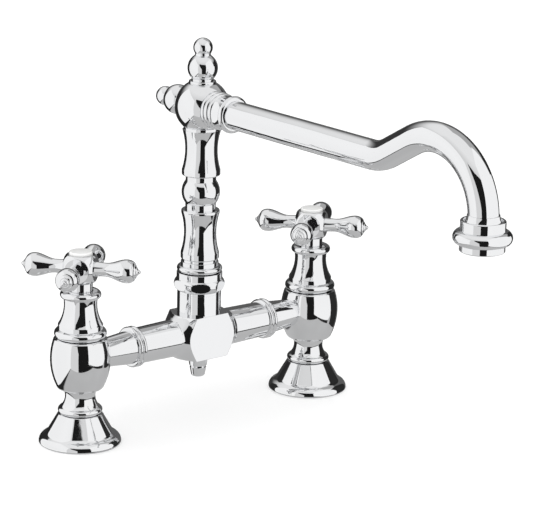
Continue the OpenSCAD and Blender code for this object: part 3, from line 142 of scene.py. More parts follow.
class Bench:
    """Blender's operators, with what they act on selected first."""

    EDGE_ANGLE = math.radians(33)
    NEAR = 1e-6

    @staticmethod
    def clear() -> None:
        """Leaves edit mode and deselects every object."""
        if bpy.context.object is not None and bpy.context.object.mode != "OBJECT":
            bpy.ops.object.mode_set(mode="OBJECT")
        bpy.ops.object.select_all(action="DESELECT")

    @classmethod
    def pick(cls, piece: Piece) -> None:
        """Selects one object alone and makes it the active one.

        Args:
            piece: The object.
        """
        cls.clear()
        piece.select_set(True)
        bpy.context.view_layer.objects.active = piece

    @staticmethod
    def edit() -> None:
        """Opens the active object in edit mode with every vertex selected."""
        bpy.ops.object.mode_set(mode="EDIT")
        bpy.ops.mesh.select_mode(type="VERT")
        bpy.ops.mesh.select_all(action="SELECT")

    @classmethod
    def plane(cls, name: str, size: float) -> Piece:
        """Adds a plane at the origin, with its size in metres.

        Args:
            name: The plane's name.
            size: Length of its sides.

        Returns:
            The plane.
        """
        cls.clear()
        bpy.ops.mesh.primitive_plane_add(size=size, location=(0, 0, 0))
        bpy.context.object.name = name
        return bpy.context.object

    @classmethod
    def clean(cls, piece: Piece) -> None:
        """Merges doubles and turns every face outwards.

        Args:
            piece: The object.
        """
        cls.pick(piece)
        cls.edit()
        bpy.ops.mesh.remove_doubles(threshold=cls.NEAR)
        bpy.ops.mesh.dissolve_degenerate(threshold=cls.NEAR)
        bpy.ops.mesh.select_all(action="SELECT")
        bpy.ops.mesh.normals_make_consistent(inside=False)
        cls.clear()

    @classmethod
    def place(cls, piece: Piece, matrix: Matrix) -> Piece:
        """Moves a piece and puts its place into its mesh.

        Args:
            piece: The object, which sits at the origin.
            matrix: How the piece is moved.

        Returns:
            The same object.
        """
        cls.pick(piece)
        piece.matrix_world = matrix
        bpy.ops.object.transform_apply(location=True, rotation=True, scale=True)
        cls.clear()
        return piece

    @classmethod
    def copy(cls, piece: Piece, matrix: Matrix) -> Piece:
        """Copies a piece with a mesh of its own, moved from the piece's place.

        Args:
            piece: The object.
            matrix: How the copy is moved.

        Returns:
            The copy.
        """
        cls.pick(piece)
        bpy.ops.object.duplicate(linked=False)
        return cls.place(bpy.context.object, matrix)

    @classmethod
    def modify(cls, piece: Piece, kind: str, **settings: object) -> None:
        """Adds a modifier to a piece and applies it.

        Args:
            piece: The object.
            kind: The modifier's type.
            **settings: The modifier's settings.
        """
        cls.pick(piece)
        modifier = piece.modifiers.new(kind.title(), kind)
        for setting, value in settings.items():
            setattr(modifier, setting, value)
        bpy.ops.object.modifier_apply(modifier=modifier.name)
        cls.clear()

    @classmethod
    def join_solids(cls, piece: Piece, other: Piece, operation: str) -> Piece:
        """Adds or cuts another solid, which is used up.

        Args:
            piece: The solid that stays.
            other: The solid that is used up.
            operation: UNION or DIFFERENCE.

        Returns:
            The piece that stays.
        """
        cls.modify(piece, "BOOLEAN", operation=operation, solver="EXACT", object=other)
        bpy.data.objects.remove(other, do_unlink=True)
        return piece

    @classmethod
    def cut_flat(cls, piece: Piece, at: Sequence[float], normal: Sequence[float]) -> None:
        """Cuts a flat through a solid and closes it.

        Args:
            piece: The solid.
            at: A point on the flat, in millimetres.
            normal: Direction out of the flat, towards what is cut away.
        """
        cls.pick(piece)
        cls.edit()
        bpy.ops.mesh.bisect(
            plane_co=Vector(at) * MM, plane_no=Vector(normal), use_fill=True, clear_outer=True
        )
        cls.clear()

    @classmethod
    def cut_around(cls, piece: Piece, number: int, distance: float, turn: float = 0.0) -> None:
        """Cuts flats side by side around Z.

        Args:
            piece: The solid.
            number: How many flats.
            distance: Distance of each flat from the axis.
            turn: Direction of the first one, in degrees from X.
        """
        for i in range(number):
            outward = turned_about("Z", turn + 360 / number * i) @ Vector((1, 0, 0))
            cls.cut_flat(piece, outward * distance, outward)

    @classmethod
    def soften(cls, piece: Piece, size: float) -> None:
        """Gives every sharp edge of a solid a small round, of a size in millimetres.

        Args:
            piece: The solid.
            size: Width of the round.
        """
        cls.clean(piece)
        cls.modify(
            piece,
            "BEVEL",
            width=size * MM,
            segments=3,
            limit_method="ANGLE",
            angle_limit=cls.EDGE_ANGLE,
            loop_slide=False,
        )
        cls.clean(piece)

    @classmethod
    def smooth(cls, piece: Piece) -> None:
        """Shades curves smooth, keeps edges crisp and lets large faces set the shading.

        Args:
            piece: The object.
        """
        cls.pick(piece)
        bpy.ops.object.shade_smooth_by_angle(angle=cls.EDGE_ANGLE)
        cls.modify(piece, "WEIGHTED_NORMAL", keep_sharp=True, weight=50)


class Profile:
    """A profile drawn from one vertex in the X and Z plane, and spun about Z as on a lathe.

    A place is a radius and a height in millimetres. A third number is the size of a soft edge.
    """

    FINE = 128
    PLAIN = 96
    COARSE = 72
    ARC_STEP = 5.0
    JOIN_NEAR = 1e-7

    def __init__(self, radius: float, height: float, soft: float = 0.0) -> None:
        """Adds the first vertex.

        Args:
            radius: Radius of the first point.
            height: Its height.
            soft: Its soft edge.
        """
        self.piece = Bench.plane("profile", MM)
        Bench.edit()
        bpy.ops.mesh.merge(type="CENTER")
        bpy.ops.transform.translate(value=(radius * MM, 0, height * MM))
        self.at = self.start = (radius, height)
        self.corners: list[Triple] = []
        self._mark(soft)

    def _mark(self, soft: float) -> None:
        """Notes the last point as a corner that gets a soft edge."""
        if soft:
            self.corners.append((*self.at, soft))

    def line(self, radius: float, height: float, soft: float = 0.0) -> "Profile":
        """Extrudes the last vertex in a straight line to a place.

        Args:
            radius: Radius of the new point.
            height: Its height.
            soft: Its soft edge.

        Returns:
            This profile.
        """
        step = ((radius - self.at[0]) * MM, 0, (height - self.at[1]) * MM)
        if math.hypot(step[0], step[2]) > Bench.NEAR:
            bpy.ops.mesh.extrude_vertices_move(TRANSFORM_OT_translate={"value": step})
            self.at = (radius, height)
        self._mark(soft)
        return self

    def path(self, *places: tuple[float, ...]) -> "Profile":
        """Draws straight lines from place to place.

        Args:
            *places: The places, in order.

        Returns:
            This profile.
        """
        for place in places:
            self.line(*place)
        return self

    def steps(self, *places: tuple[float, ...]) -> "Profile":
        """Goes to each place in two lines, first level and then along the axis.

        Args:
            *places: The places, in order.

        Returns:
            This profile.
        """
        for place in places:
            self.line(place[0], self.at[1]).line(*place)
        return self

    def arc(self, radius: float, height: float, degrees: float, soft: float = 0.0) -> "Profile":
        """Spins the last vertex about a centre.

        Args:
            radius: Distance of the arc's centre from the axis.
            height: Height of the arc's centre.
            degrees: Turn of the arc, counterclockwise where it is positive.
            soft: Size of the soft edge at the arc's end.

        Returns:
            This profile.
        """
        angle = math.radians(degrees)
        bpy.ops.mesh.spin(
            steps=max(2, round(abs(degrees) / self.ARC_STEP)),
            angle=angle,
            center=(radius * MM, 0, height * MM),
            axis=(0, 1, 0),
        )
        x, z = self.at[0] - radius, self.at[1] - height
        self.at = (
            radius + x * math.cos(angle) - z * math.sin(angle),
            height + x * math.sin(angle) + z * math.cos(angle),
        )
        self._mark(soft)
        return self

    def ring(self, radius: float, low_z: float, high_z: float) -> "Profile":
        """Draws a half round ring.

        Args:
            radius: Greatest distance of the ring from the axis.
            low_z: Where the ring starts.
            high_z: Where it ends.

        Returns:
            This profile.
        """
        half = (high_z - low_z) / 2
        return self.line(radius - half, low_z).arc(radius - half, low_z + half, 180)

    def _select(self, near: float, *places: Pair) -> None:
        """Selects the vertices at some places alone.

        Args:
            near: How far a vertex may be from its place, in metres.
            *places: The places.
        """
        bpy.ops.mesh.select_all(action="DESELECT")
        mesh = bmesh.from_edit_mesh(self.piece.data)
        for radius, height in places:
            place = Vector((radius * MM, 0, height * MM))
            for vertex in mesh.verts:
                if (vertex.co - place).length < near:
                    vertex.select_set(True)
        mesh.select_flush_mode()
        bmesh.update_edit_mesh(self.piece.data)

    def close(self) -> "Profile":
        """Goes level to the bore's radius and from there along the bore to the first point.

        Returns:
            This profile.
        """
        self.line(self.start[0], self.at[1])
        self._select(self.JOIN_NEAR, self.at, self.start)
        bpy.ops.mesh.edge_face_add()
        return self

    def spin(self, steps: int = FINE) -> Piece:
        """Softens the marked corners and spins the profile about the axis.

        Args:
            steps: Number of steps in the full turn.

        Returns:
            The turned solid.
        """
        for *corner, soft in self.corners:
            self._select(Bench.NEAR, corner)
            bpy.ops.mesh.bevel(offset=soft * MM, segments=3, affect="VERTICES", clamp_overlap=True)
        bpy.ops.mesh.select_all(action="SELECT")
        bpy.ops.mesh.spin(
            steps=steps, angle=math.tau, center=(0, 0, 0), axis=(0, 0, 1), use_auto_merge=True
        )
        Bench.clean(self.piece)
        return self.piece


# --- finishes


class Value:
    """A socket that adds Math nodes when it is used in an expression."""

    def __init__(self, graph: "Graph", socket: Socket) -> None:
        """Wraps a socket of a graph."""
        self.graph = graph
        self.socket = socket

    def math(self, operation: str, *others: object) -> "Value":
        """Adds a Math node whose first input is this value."""
        return self.graph.math(operation, self, *others)

    def __add__(self, other: object) -> "Value":
        """Sum."""
        return self.math("ADD", other)

    def __mul__(self, other: object) -> "Value":
        """Product."""
        return self.math("MULTIPLY", other)

    def __sub__(self, other: object) -> "Value":
        """Difference."""
        return self.math("SUBTRACT", other)

    def __rsub__(self, other: object) -> "Value":
        """Difference, with this value taken away."""
        return self.graph.math("SUBTRACT", other, self)

    def __truediv__(self, other: object) -> "Value":
        """Quotient."""
        return self.math("DIVIDE", other)

    def __rtruediv__(self, other: object) -> "Value":
        """Quotient, with this value below the line."""
        return self.graph.math("DIVIDE", other, self)

    __radd__ = __add__
    __rmul__ = __mul__

    def ramp(self, start: float, end: float) -> "Value":
        """Rises smoothly from 0 at start to 1 at end; falls where end is below start.

        Args:
            start: Where it is 0.
            end: Where it is 1.

        Returns:
            The share.
        """
        if end < start:
            return 1 - self.ramp(end, start)
        result = self.graph.node(
            "ShaderNodeMapRange",
            {"interpolation_type": "SMOOTHSTEP"},
            {"Value": self, "From Min": start, "From Max": end},
        )
        return Value(self.graph, result.outputs["Result"])

    def band(self, start: float, end: float, soft: float) -> "Value":
        """1 between start and end and 0 outside, with soft limits."""
        return self.ramp(start - soft, start + soft) * self.ramp(end + soft, end - soft)


class Graph:
    """A node tree that is built by calls."""

    def __init__(self, holder: bpy.types.Material | bpy.types.World) -> None:
        """Empties a node tree and wraps it.

        Args:
            holder: The material or world that has the tree.
        """
        holder.use_nodes = True
        self.tree = holder.node_tree
        self.tree.nodes.clear()

    def node(
        self,
        kind: str,
        settings: dict[str, object] | None = None,
        sockets: dict[str | int, object] | None = None,
    ) -> bpy.types.Node:
        """Adds a node.

        Args:
            kind: The node's type.
            settings: Its settings, which are set before its sockets.
            sockets: The values or links of its inputs, by name or number.

        Returns:
            The node.
        """
        added = self.tree.nodes.new(kind)
        for setting, value in (settings or {}).items():
            setattr(added, setting, value)
        for name, value in (sockets or {}).items():
            value = value.socket if isinstance(value, Value) else value
            if isinstance(value, Socket):
                self.tree.links.new(value, added.inputs[name])
            else:
                added.inputs[name].default_value = value
        return added

    def math(self, operation: str, *inputs: object) -> Value:
        """Adds a Math node on its inputs and gives its result."""
        added = self.node("ShaderNodeMath", {"operation": operation}, dict(enumerate(inputs)))
        return Value(self, added.outputs[0])

    def place(self, kind: str = "Object") -> Socket:
        """Texture coordinates of a kind."""
        return self.node("ShaderNodeTexCoord").outputs[kind]

    def split(self, vector: Socket) -> tuple[Value, ...]:
        """The X, Y and Z of a vector."""
        added = self.node("ShaderNodeSeparateXYZ", {}, {0: vector})
        return tuple(Value(self, socket) for socket in added.outputs)

    def mix(self, share: Value, first: Colour, second: Colour) -> Socket:
        """Mixes two colours by the share of the second one."""
        sockets = {0: share, 6: (*first, 1.0), 7: (*second, 1.0)}
        return self.node("ShaderNodeMix", {"data_type": "RGBA"}, sockets).outputs[2]

    def noise(self, place: Socket, scale: float, detail: float = 3.0, rough: float = 0.5) -> Value:
        """Noise from 0 to 1 on a place, with its scale per metre.

        Args:
            place: Coordinates, in metres.
            scale: Scale per metre.
            detail: Number of octaves.
            rough: Share of the finer octaves.

        Returns:
            The noise.
        """
        sockets = {"Vector": place, "Scale": scale, "Detail": detail, "Roughness": rough}
        added = self.node("ShaderNodeTexNoise", {"noise_dimensions": "3D"}, sockets)
        return Value(self, added.outputs[0])

    def bump(self, height: Value, distance: float) -> Socket:
        """Normal of a Bump node on a height from 0 to 1, where 1 is a distance in metres."""
        sockets = {"Height": height, "Distance": distance, "Strength": 1.0}
        return self.node("ShaderNodeBump", {}, sockets).outputs["Normal"]

    def show(self, kind: str, sockets: dict[str, object], target: str = "Material") -> None:
        """Adds the shader and the output that shows it.

        Args:
            kind: The shader's type.
            sockets: The values or links of its inputs.
            target: Material or World.
        """
        shader = self.node(kind, {}, sockets)
        self.node(f"ShaderNodeOutput{target}", {}, {"Surface": shader.outputs[0]})


@dataclass(frozen=True)
class Finish:
    """A finish of the tap: its slot in the record and its plain look."""

    slot: str
    colour: Colour
    metallic: float = 0.0
    roughness: float = 0.4
    coat: float = 0.0

    def shade(self, graph: Graph, place: Socket) -> dict[str, object]:
        """What varies over the surface.

        Args:
            graph: The material's graph.
            place: Object coordinates.

        Returns:
            Links for the shader's sockets, by name.
        """
        raise NotImplementedError

    def put_on(self, piece: Piece) -> None:
        """Gives a piece this finish alone, as a material that is made once.

        Args:
            piece: The object.
        """
        name = f"{self.slot}_finish"
        made = bpy.data.materials.get(name)
        if made is None:
            made = bpy.data.materials.new(name)
            graph = Graph(made)
            sockets = {
                "Base Color": (*self.colour, 1.0),
                "Metallic": self.metallic,
                "Roughness": self.roughness,
                "Coat Weight": self.coat,
                **self.shade(graph, graph.place()),
            }
            graph.show("ShaderNodeBsdfPrincipled", sockets)
            made.diffuse_color = (*self.colour, 1.0)
        piece.data.materials.clear()
        piece.data.materials.append(made)


@dataclass(frozen=True)
class Chrome(Finish):
    """Bright chrome plate: hardly any waves, faint drying marks that dull it in spots."""

    wave_scale: float = 55.0
    wave_depth: float = 0.00009
    mark_scale: float = 160.0
    mark_range: Pair = (0.52, 0.74)
    mark_dulls: float = 0.045
    haze_scale: float = 22.0
    haze_dulls: float = 0.02
    haze_shade: float = 0.965

    def shade(self, graph: Graph, place: Socket) -> dict[str, object]:
        """Waves of the polish, drying marks and haze.

        Args:
            graph: The material's graph.
            place: Object coordinates.

        Returns:
            Links for the shader's sockets, by name.
        """
        waves = graph.noise(place, self.wave_scale, 1.5)
        marks = graph.noise(place, self.mark_scale, 4.0, 0.6).ramp(*self.mark_range)
        haze = graph.noise(place, self.haze_scale, 2.0)
        darker = tuple(c * self.haze_shade for c in self.colour)
        return {
            "Base Color": graph.mix(haze, self.colour, darker),
            "Roughness": self.roughness + self.mark_dulls * marks + self.haze_dulls * haze,
            "Normal": graph.bump(waves, self.wave_depth),
        }


@dataclass(frozen=True)
class Porcelain(Finish):
    """White glazed porcelain: a soft, slightly uneven glaze over a warm white body."""

    cloud_scale: float = 120.0
    cloud_colour: Colour = (0.945, 0.945, 0.93)
    cloud_dulls: float = 0.05
    peel_scale: float = 700.0
    peel_depth: float = 0.00001

    def shade(self, graph: Graph, place: Socket) -> dict[str, object]:
        """Cloudy body and the orange peel of the glaze.

        Args:
            graph: The material's graph.
            place: Object coordinates.

        Returns:
            Links for the shader's sockets, by name.
        """
        cloud = graph.noise(place, self.cloud_scale)
        return {
            "Base Color": graph.mix(cloud, self.colour, self.cloud_colour),
            "Roughness": self.roughness + self.cloud_dulls * cloud,
            "Normal": graph.bump(graph.noise(place, self.peel_scale, 2.0), self.peel_depth),
        }


@dataclass(frozen=True)
class TurnedMetal(Finish):
    """Bare turned metal: fine tool marks around its axis and a slight stain."""

    pitch: float = 0.00035
    mark_depth: float = 0.000012
    waver: float = 0.0002
    waver_scale: float = 300.0
    stain: Colour = (0.42, 0.27, 0.10)
    stain_scale: float = 240.0
    stain_range: Pair = (0.45, 0.8)
    stain_dulls: float = 0.15

    def shade(self, graph: Graph, place: Socket) -> dict[str, object]:
        """Tool marks along the height, and stain in clouds.

        Args:
            graph: The material's graph.
            place: Object coordinates.

        Returns:
            Links for the shader's sockets, by name.
        """
        height = graph.split(place)[2] + self.waver * graph.noise(place, self.waver_scale)
        marks = (height * (math.tau / self.pitch)).math("SINE") * 0.5 + 0.5
        cloud = graph.noise(place, self.stain_scale, 5.0, 0.6)
        return {
            "Base Color": graph.mix(cloud.ramp(*self.stain_range), self.colour, self.stain),
            "Roughness": self.roughness + self.stain_dulls * cloud,
            "Normal": graph.bump(marks, self.mark_depth),
        }


@dataclass(frozen=True)
class Matt(Finish):
    """A plain dull solid, such as rubber, ceramic or plastic, with its own grain."""

    grain_scale: float = 900.0
    grain_depth: float = 0.00003
    grain_dulls: float = 0.12
    cloud_scale: float = 135.0
    shade_share: float = 0.7

    def shade(self, graph: Graph, place: Socket) -> dict[str, object]:
        """Grain of the surface and clouds in its colour.

        Args:
            graph: The material's graph.
            place: Object coordinates.

        Returns:
            Links for the shader's sockets, by name.
        """
        grain = graph.noise(place, self.grain_scale, 4.0, 0.6)
        darker = tuple(c * self.shade_share for c in self.colour)
        return {
            "Base Color": graph.mix(graph.noise(place, self.cloud_scale), self.colour, darker),
            "Roughness": self.roughness + self.grain_dulls * grain,
            "Normal": graph.bump(grain, self.grain_depth),
        }


CHROME = Chrome("chrome", (0.90, 0.905, 0.915), metallic=1.0, roughness=0.025)
PORCELAIN = Porcelain("porcelain", (0.975, 0.975, 0.965), roughness=0.16, coat=0.6)
BRASS = TurnedMetal("brass", (0.72, 0.50, 0.20), metallic=1.0, roughness=0.24)
STAINLESS = TurnedMetal(
    "stainless", (0.60, 0.60, 0.59), 1.0, 0.28, pitch=0.0002, stain=(0.45, 0.45, 0.44)
)
RUBBER = Matt("rubber", (0.030, 0.030, 0.032), roughness=0.55, shade_share=0.6)
CERAMIC = Matt("ceramic", (0.86, 0.84, 0.78), roughness=0.30, grain_depth=0.00001, shade_share=0.9)
PLASTIC = Matt(
    "bearing_plastic", (0.80, 0.78, 0.70), roughness=0.38, grain_depth=0.00002, shade_share=0.88
)
FINISHES = {f.slot: f for f in (CHROME, PORCELAIN, BRASS, STAINLESS, RUBBER, CERAMIC, PLASTIC)}


# --- sub-assemblies


class SubAssembly:
    """Pieces that are built together and dressed."""

    def dress(self, piece: Piece, node: str, body: str, finish: Finish = CHROME) -> None:
        """Finishes a piece that stands for a CAD node.

        Args:
            piece: The finished mesh.
            node: The CAD node that it replaces.
            body: The body that it rides on.
            finish: Its finish.
        """
        piece.name = piece.data.name = f"{node}_form"
        Bench.smooth(piece)
        finish.put_on(piece)
        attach(piece, body)
        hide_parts(node)
        LOG.info("%s: %d faces on %s", piece.name, len(piece.data.polygons), body)

    def dress_both(self, piece: Piece, part: str, hot: Matrix, cold: Matrix) -> None:
        """Dresses a piece of the base for the hot side and its copy for the cold side.

        Args:
            piece: The finished mesh.
            part: Name of the CAD nodes without their side.
            hot: How the piece is moved.
            cold: How the copy is moved.
        """
        twin = Bench.copy(piece, cold)
        self.dress(Bench.place(piece, hot), Side.HOT.node(part), "base")
        self.dress(twin, Side.COLD.node(part), "base")

    def build(self) -> None:
        """Builds the pieces."""
        raise NotImplementedError


@dataclass
class Feet(SubAssembly):
    """The flared foot of each pillar, with the inlet's socket and the seal's recess inside."""

    height: float = 18.5
    lip_r: float = 4.6
    edge_r: float = 1.0
    lip_turn: float = 68.5
    hollow_r: float = 4.1
    cone_angle: float = 30.0
    top_edge_r: float = 0.6
    wall: float = 2.2
    boss_d: float = 25.0
    seal_h: float = 2.4
    seal_d: float = 42.8
    inlet_d: float = 18.6
    inlet_depth: float = 10.0
    land_h: float = 1.0
    socket_d: float = 15.1
    bore_d: float = 9.6
    soft: float = 0.15

    def build(self) -> None:
        """Turns one foot and copies it."""
        outer = (high("hot_foot", 0) - low("hot_foot", 0)) / 2
        lean, soft = math.radians(self.cone_angle), self.soft
        lip_x = outer - self.lip_r
        hollow = around(lip_x, self.edge_r, self.lip_r + self.hollow_r, self.lip_turn)
        cone_x, cone_z = around(*hollow, -self.hollow_r, self.cone_angle)
        top_r = cone_x - (self.height - cone_z) * math.tan(lean)
        edge_x = top_r + self.top_edge_r * (math.tan(lean) - 1 / math.cos(lean))
        edge_z = self.height - self.top_edge_r
        cavity_r = cone_x + (cone_z - self.seal_h) * math.tan(lean) - self.wall / math.cos(lean)
        boss_r, seal_r, step_z = self.boss_d / 2, self.seal_d / 2, self.inlet_depth + self.land_h
        cavity_top = self.seal_h + (cavity_r - boss_r) / math.tan(lean)
        foot = (
            Profile(self.inlet_d / 2, 0, soft)
            .path((boss_r, 0, soft), (boss_r, cavity_top), (cavity_r, self.seal_h))
            .path((seal_r, self.seal_h), (seal_r, 0, soft), (outer - self.edge_r, 0))
            .arc(outer - self.edge_r, self.edge_r, 90)
            .arc(lip_x, self.edge_r, self.lip_turn)
            .arc(*hollow, self.cone_angle - self.lip_turn)
            .line(*around(edge_x, edge_z, self.top_edge_r, self.cone_angle))
            .arc(edge_x, edge_z, 90 - self.cone_angle)
            .path((self.socket_d / 2, self.height, soft), (self.socket_d / 2, step_z))
            .steps((self.bore_d / 2, self.inlet_depth))
            .close()
            .spin()
        )
        self.dress_both(foot, "foot", moved(Side.HOT.x), moved(Side.COLD.x))


@dataclass
class ValveBodies(SubAssembly):
    """Bead, waisted neck and barrel of each pillar, with the stub that meets the bridge."""

    spigot_d: float = 15.0
    bore_d: float = 9.6
    bead_d: float = 26.7
    bead_r: float = 2.1
    bead_turn: float = 148.0
    neck_h: float = 15.3
    neck_d: float = 18.2
    neck_curve_r: float = 9.0
    waist_h: float = 10.6
    ring_h: float = 0.6
    ring_d: float = 21.6
    barrel_d: float = 36.3
    barrel_r: float = 39.0
    low_r: float = 3.2
    top_r: float = 1.6
    seat_depth: float = 25.6
    chamber_d: float = 20.6
    mouth_d: float = 18.8
    mouth_h: float = 8.0
    stub_root_d: float = 17.0
    stub_root_at: float = 11.5
    stub_sink: float = 2.0
    stub_end_d: float = 20.6
    stub_ring_d: float = 25.1
    ring_w: float = 2.8
    stub_bore_d: float = 10.0
    stub_bore_run: Pair = (6.0, 25.0)
    socket_d: float = 14.9
    socket_len: float = 8.2
    soft: float = 0.15

    def _pillar(self) -> Piece:
        """Turns the bead, neck and barrel about Z.

        Returns:
            The turned solid.
        """
        foot_z, bridge_z = high("hot_foot"), middle("hot_bridge_arm")
        top, start = high("hot_valve_body"), low("hot_valve_body")
        barrel_z, waist_z = foot_z + self.neck_h, foot_z + self.waist_h
        bead_x = self.bead_d / 2 - self.bead_r
        neck_x = self.neck_d / 2 + self.neck_curve_r
        rise0 = asin((waist_z - foot_z - 2 * self.bead_r) / self.neck_curve_r)
        rise1 = asin((barrel_z - self.ring_h - waist_z) / self.neck_curve_r)
        side_x = self.barrel_d / 2 - self.barrel_r
        inner_low, inner_top = self.barrel_r - self.low_r, self.barrel_r - self.top_r
        low_a = asin((bridge_z - barrel_z - self.low_r) / inner_low)
        top_a = asin((top - self.top_r - bridge_z) / inner_top)
        low_x, _ = around(side_x, 0, inner_low, low_a)
        top_x, _ = around(side_x, 0, inner_top, top_a)
        return (
            Profile(self.bore_d / 2, start)
            .steps((self.spigot_d / 2, foot_z))
            .line(bead_x, foot_z)
            .arc(bead_x, foot_z + self.bead_r, self.bead_turn)
            .line(*around(neck_x, waist_z, self.neck_curve_r, 180 + rise0))
            .arc(neck_x, waist_z, -rise0 - rise1)
            .line(self.ring_d / 2, barrel_z - self.ring_h, self.soft)
            .path((self.ring_d / 2, barrel_z), (low_x, barrel_z))
            .arc(low_x, barrel_z + self.low_r, 90 - low_a)
            .arc(side_x, bridge_z, low_a + top_a)
            .arc(top_x, top - self.top_r, 90 - top_a)
            .steps((self.mouth_d / 2, top - self.mouth_h))
            .steps((self.chamber_d / 2, top - self.seat_depth))
            .close()
            .spin()
        )

    def _stub(self) -> Piece:
        """Turns the stub about Z, from the barrel's wall to the joint with the bridge arm.

        Returns:
            The turned solid.
        """
        end = high("hot_valve_body", 0) - Side.HOT.x
        return (
            Profile(self.stub_bore_d / 2, self.stub_root_at)
            .steps((self.stub_root_d / 2, self.barrel_d / 2 - self.stub_sink))
            .line(self.stub_end_d / 2, end - self.ring_w)
            .ring(self.stub_ring_d / 2, end - self.ring_w, end)
            .steps((self.socket_d / 2, end - self.socket_len))
            .close()
            .spin(Profile.PLAIN)
        )

    def _bore(self) -> Piece:
        """Turns the waterway of the stub about Z.

        Returns:
            The turned solid.
        """
        start, end = self.stub_bore_run
        bore = Profile(0, start).steps((self.stub_bore_d / 2, end), (0, end))
        return bore.spin(Profile.PLAIN)

    def build(self) -> None:
        """Builds one valve body and copies it, turned about, to the other pillar."""
        to_bridge = moved(z=middle("hot_bridge_arm")) @ turned_about("Y", 90)
        body = self._pillar()
        Bench.join_solids(body, Bench.place(self._stub(), to_bridge), "UNION")
        Bench.join_solids(body, Bench.place(self._bore(), to_bridge), "DIFFERENCE")
        Bench.clean(body)
        across = moved(Side.COLD.x) @ turned_about("Z", 180)
        self.dress_both(body, "valve_body", moved(Side.HOT.x), across)


@dataclass
class Shrouds(SubAssembly):
    """The bell over each headwork: foot ring, band, waist and round top ring."""

    bead_d: float = 31.5
    bead_r: float = 2.85
    bead_turn: float = 138.0
    band_d: float = 26.9
    band_h: float = 8.3
    waist_d: float = 19.8
    waist_h: float = 20.6
    ring_h: float = 26.7
    ring_d: float = 24.6
    ring_r: float = 2.35
    ring_start: float = -80.0
    wall: float = 1.5
    inner_turn: float = 16.0
    foot_bore: float = 25.2
    foot_h: float = 5.8
    mouth_d: float = 15.0
    soft: float = 0.15

    def build(self) -> None:
        """Turns one shroud and copies it."""
        foot_z, top = low("hot_shroud"), high("hot_shroud")
        drop = self.waist_h - self.band_h
        bell_r = sag_radius(drop, (self.band_d - self.waist_d) / 2)
        bell_x, waist_z = self.waist_d / 2 + bell_r, foot_z + self.waist_h
        ring_z, ring_x = foot_z + self.ring_h, self.ring_d / 2 - self.ring_r
        neck_z, inner_r = ring_z - self.ring_r, bell_r + self.wall
        neck = neck_z - waist_z
        fall, rise, inner_rise = asin(drop / bell_r), asin(neck / bell_r), asin(neck / inner_r)
        bead_x = self.bead_d / 2 - self.bead_r
        shroud = (
            Profile(self.foot_bore / 2, foot_z)
            .line(bead_x, foot_z)
            .arc(bead_x, foot_z + self.bead_r, self.bead_turn)
            .line(self.band_d / 2, foot_z + 2 * self.bead_r)
            .line(self.band_d / 2, foot_z + self.band_h, self.soft)
            .arc(bell_x, waist_z, -fall - rise)
            .line(*around(ring_x, ring_z, self.ring_r, self.ring_start))
            .arc(ring_x, ring_z, 90 - self.ring_start)
            .path((self.mouth_d / 2, top, self.soft), (self.mouth_d / 2, neck_z))
            .line(*around(bell_x, waist_z, inner_r, 180 - inner_rise))
            .arc(bell_x, waist_z, inner_rise + self.inner_turn)
            .line(self.foot_bore / 2, foot_z + self.foot_h)
            .close()
            .spin()
        )
        self.dress_both(shroud, "shroud", moved(Side.HOT.x), moved(Side.COLD.x))


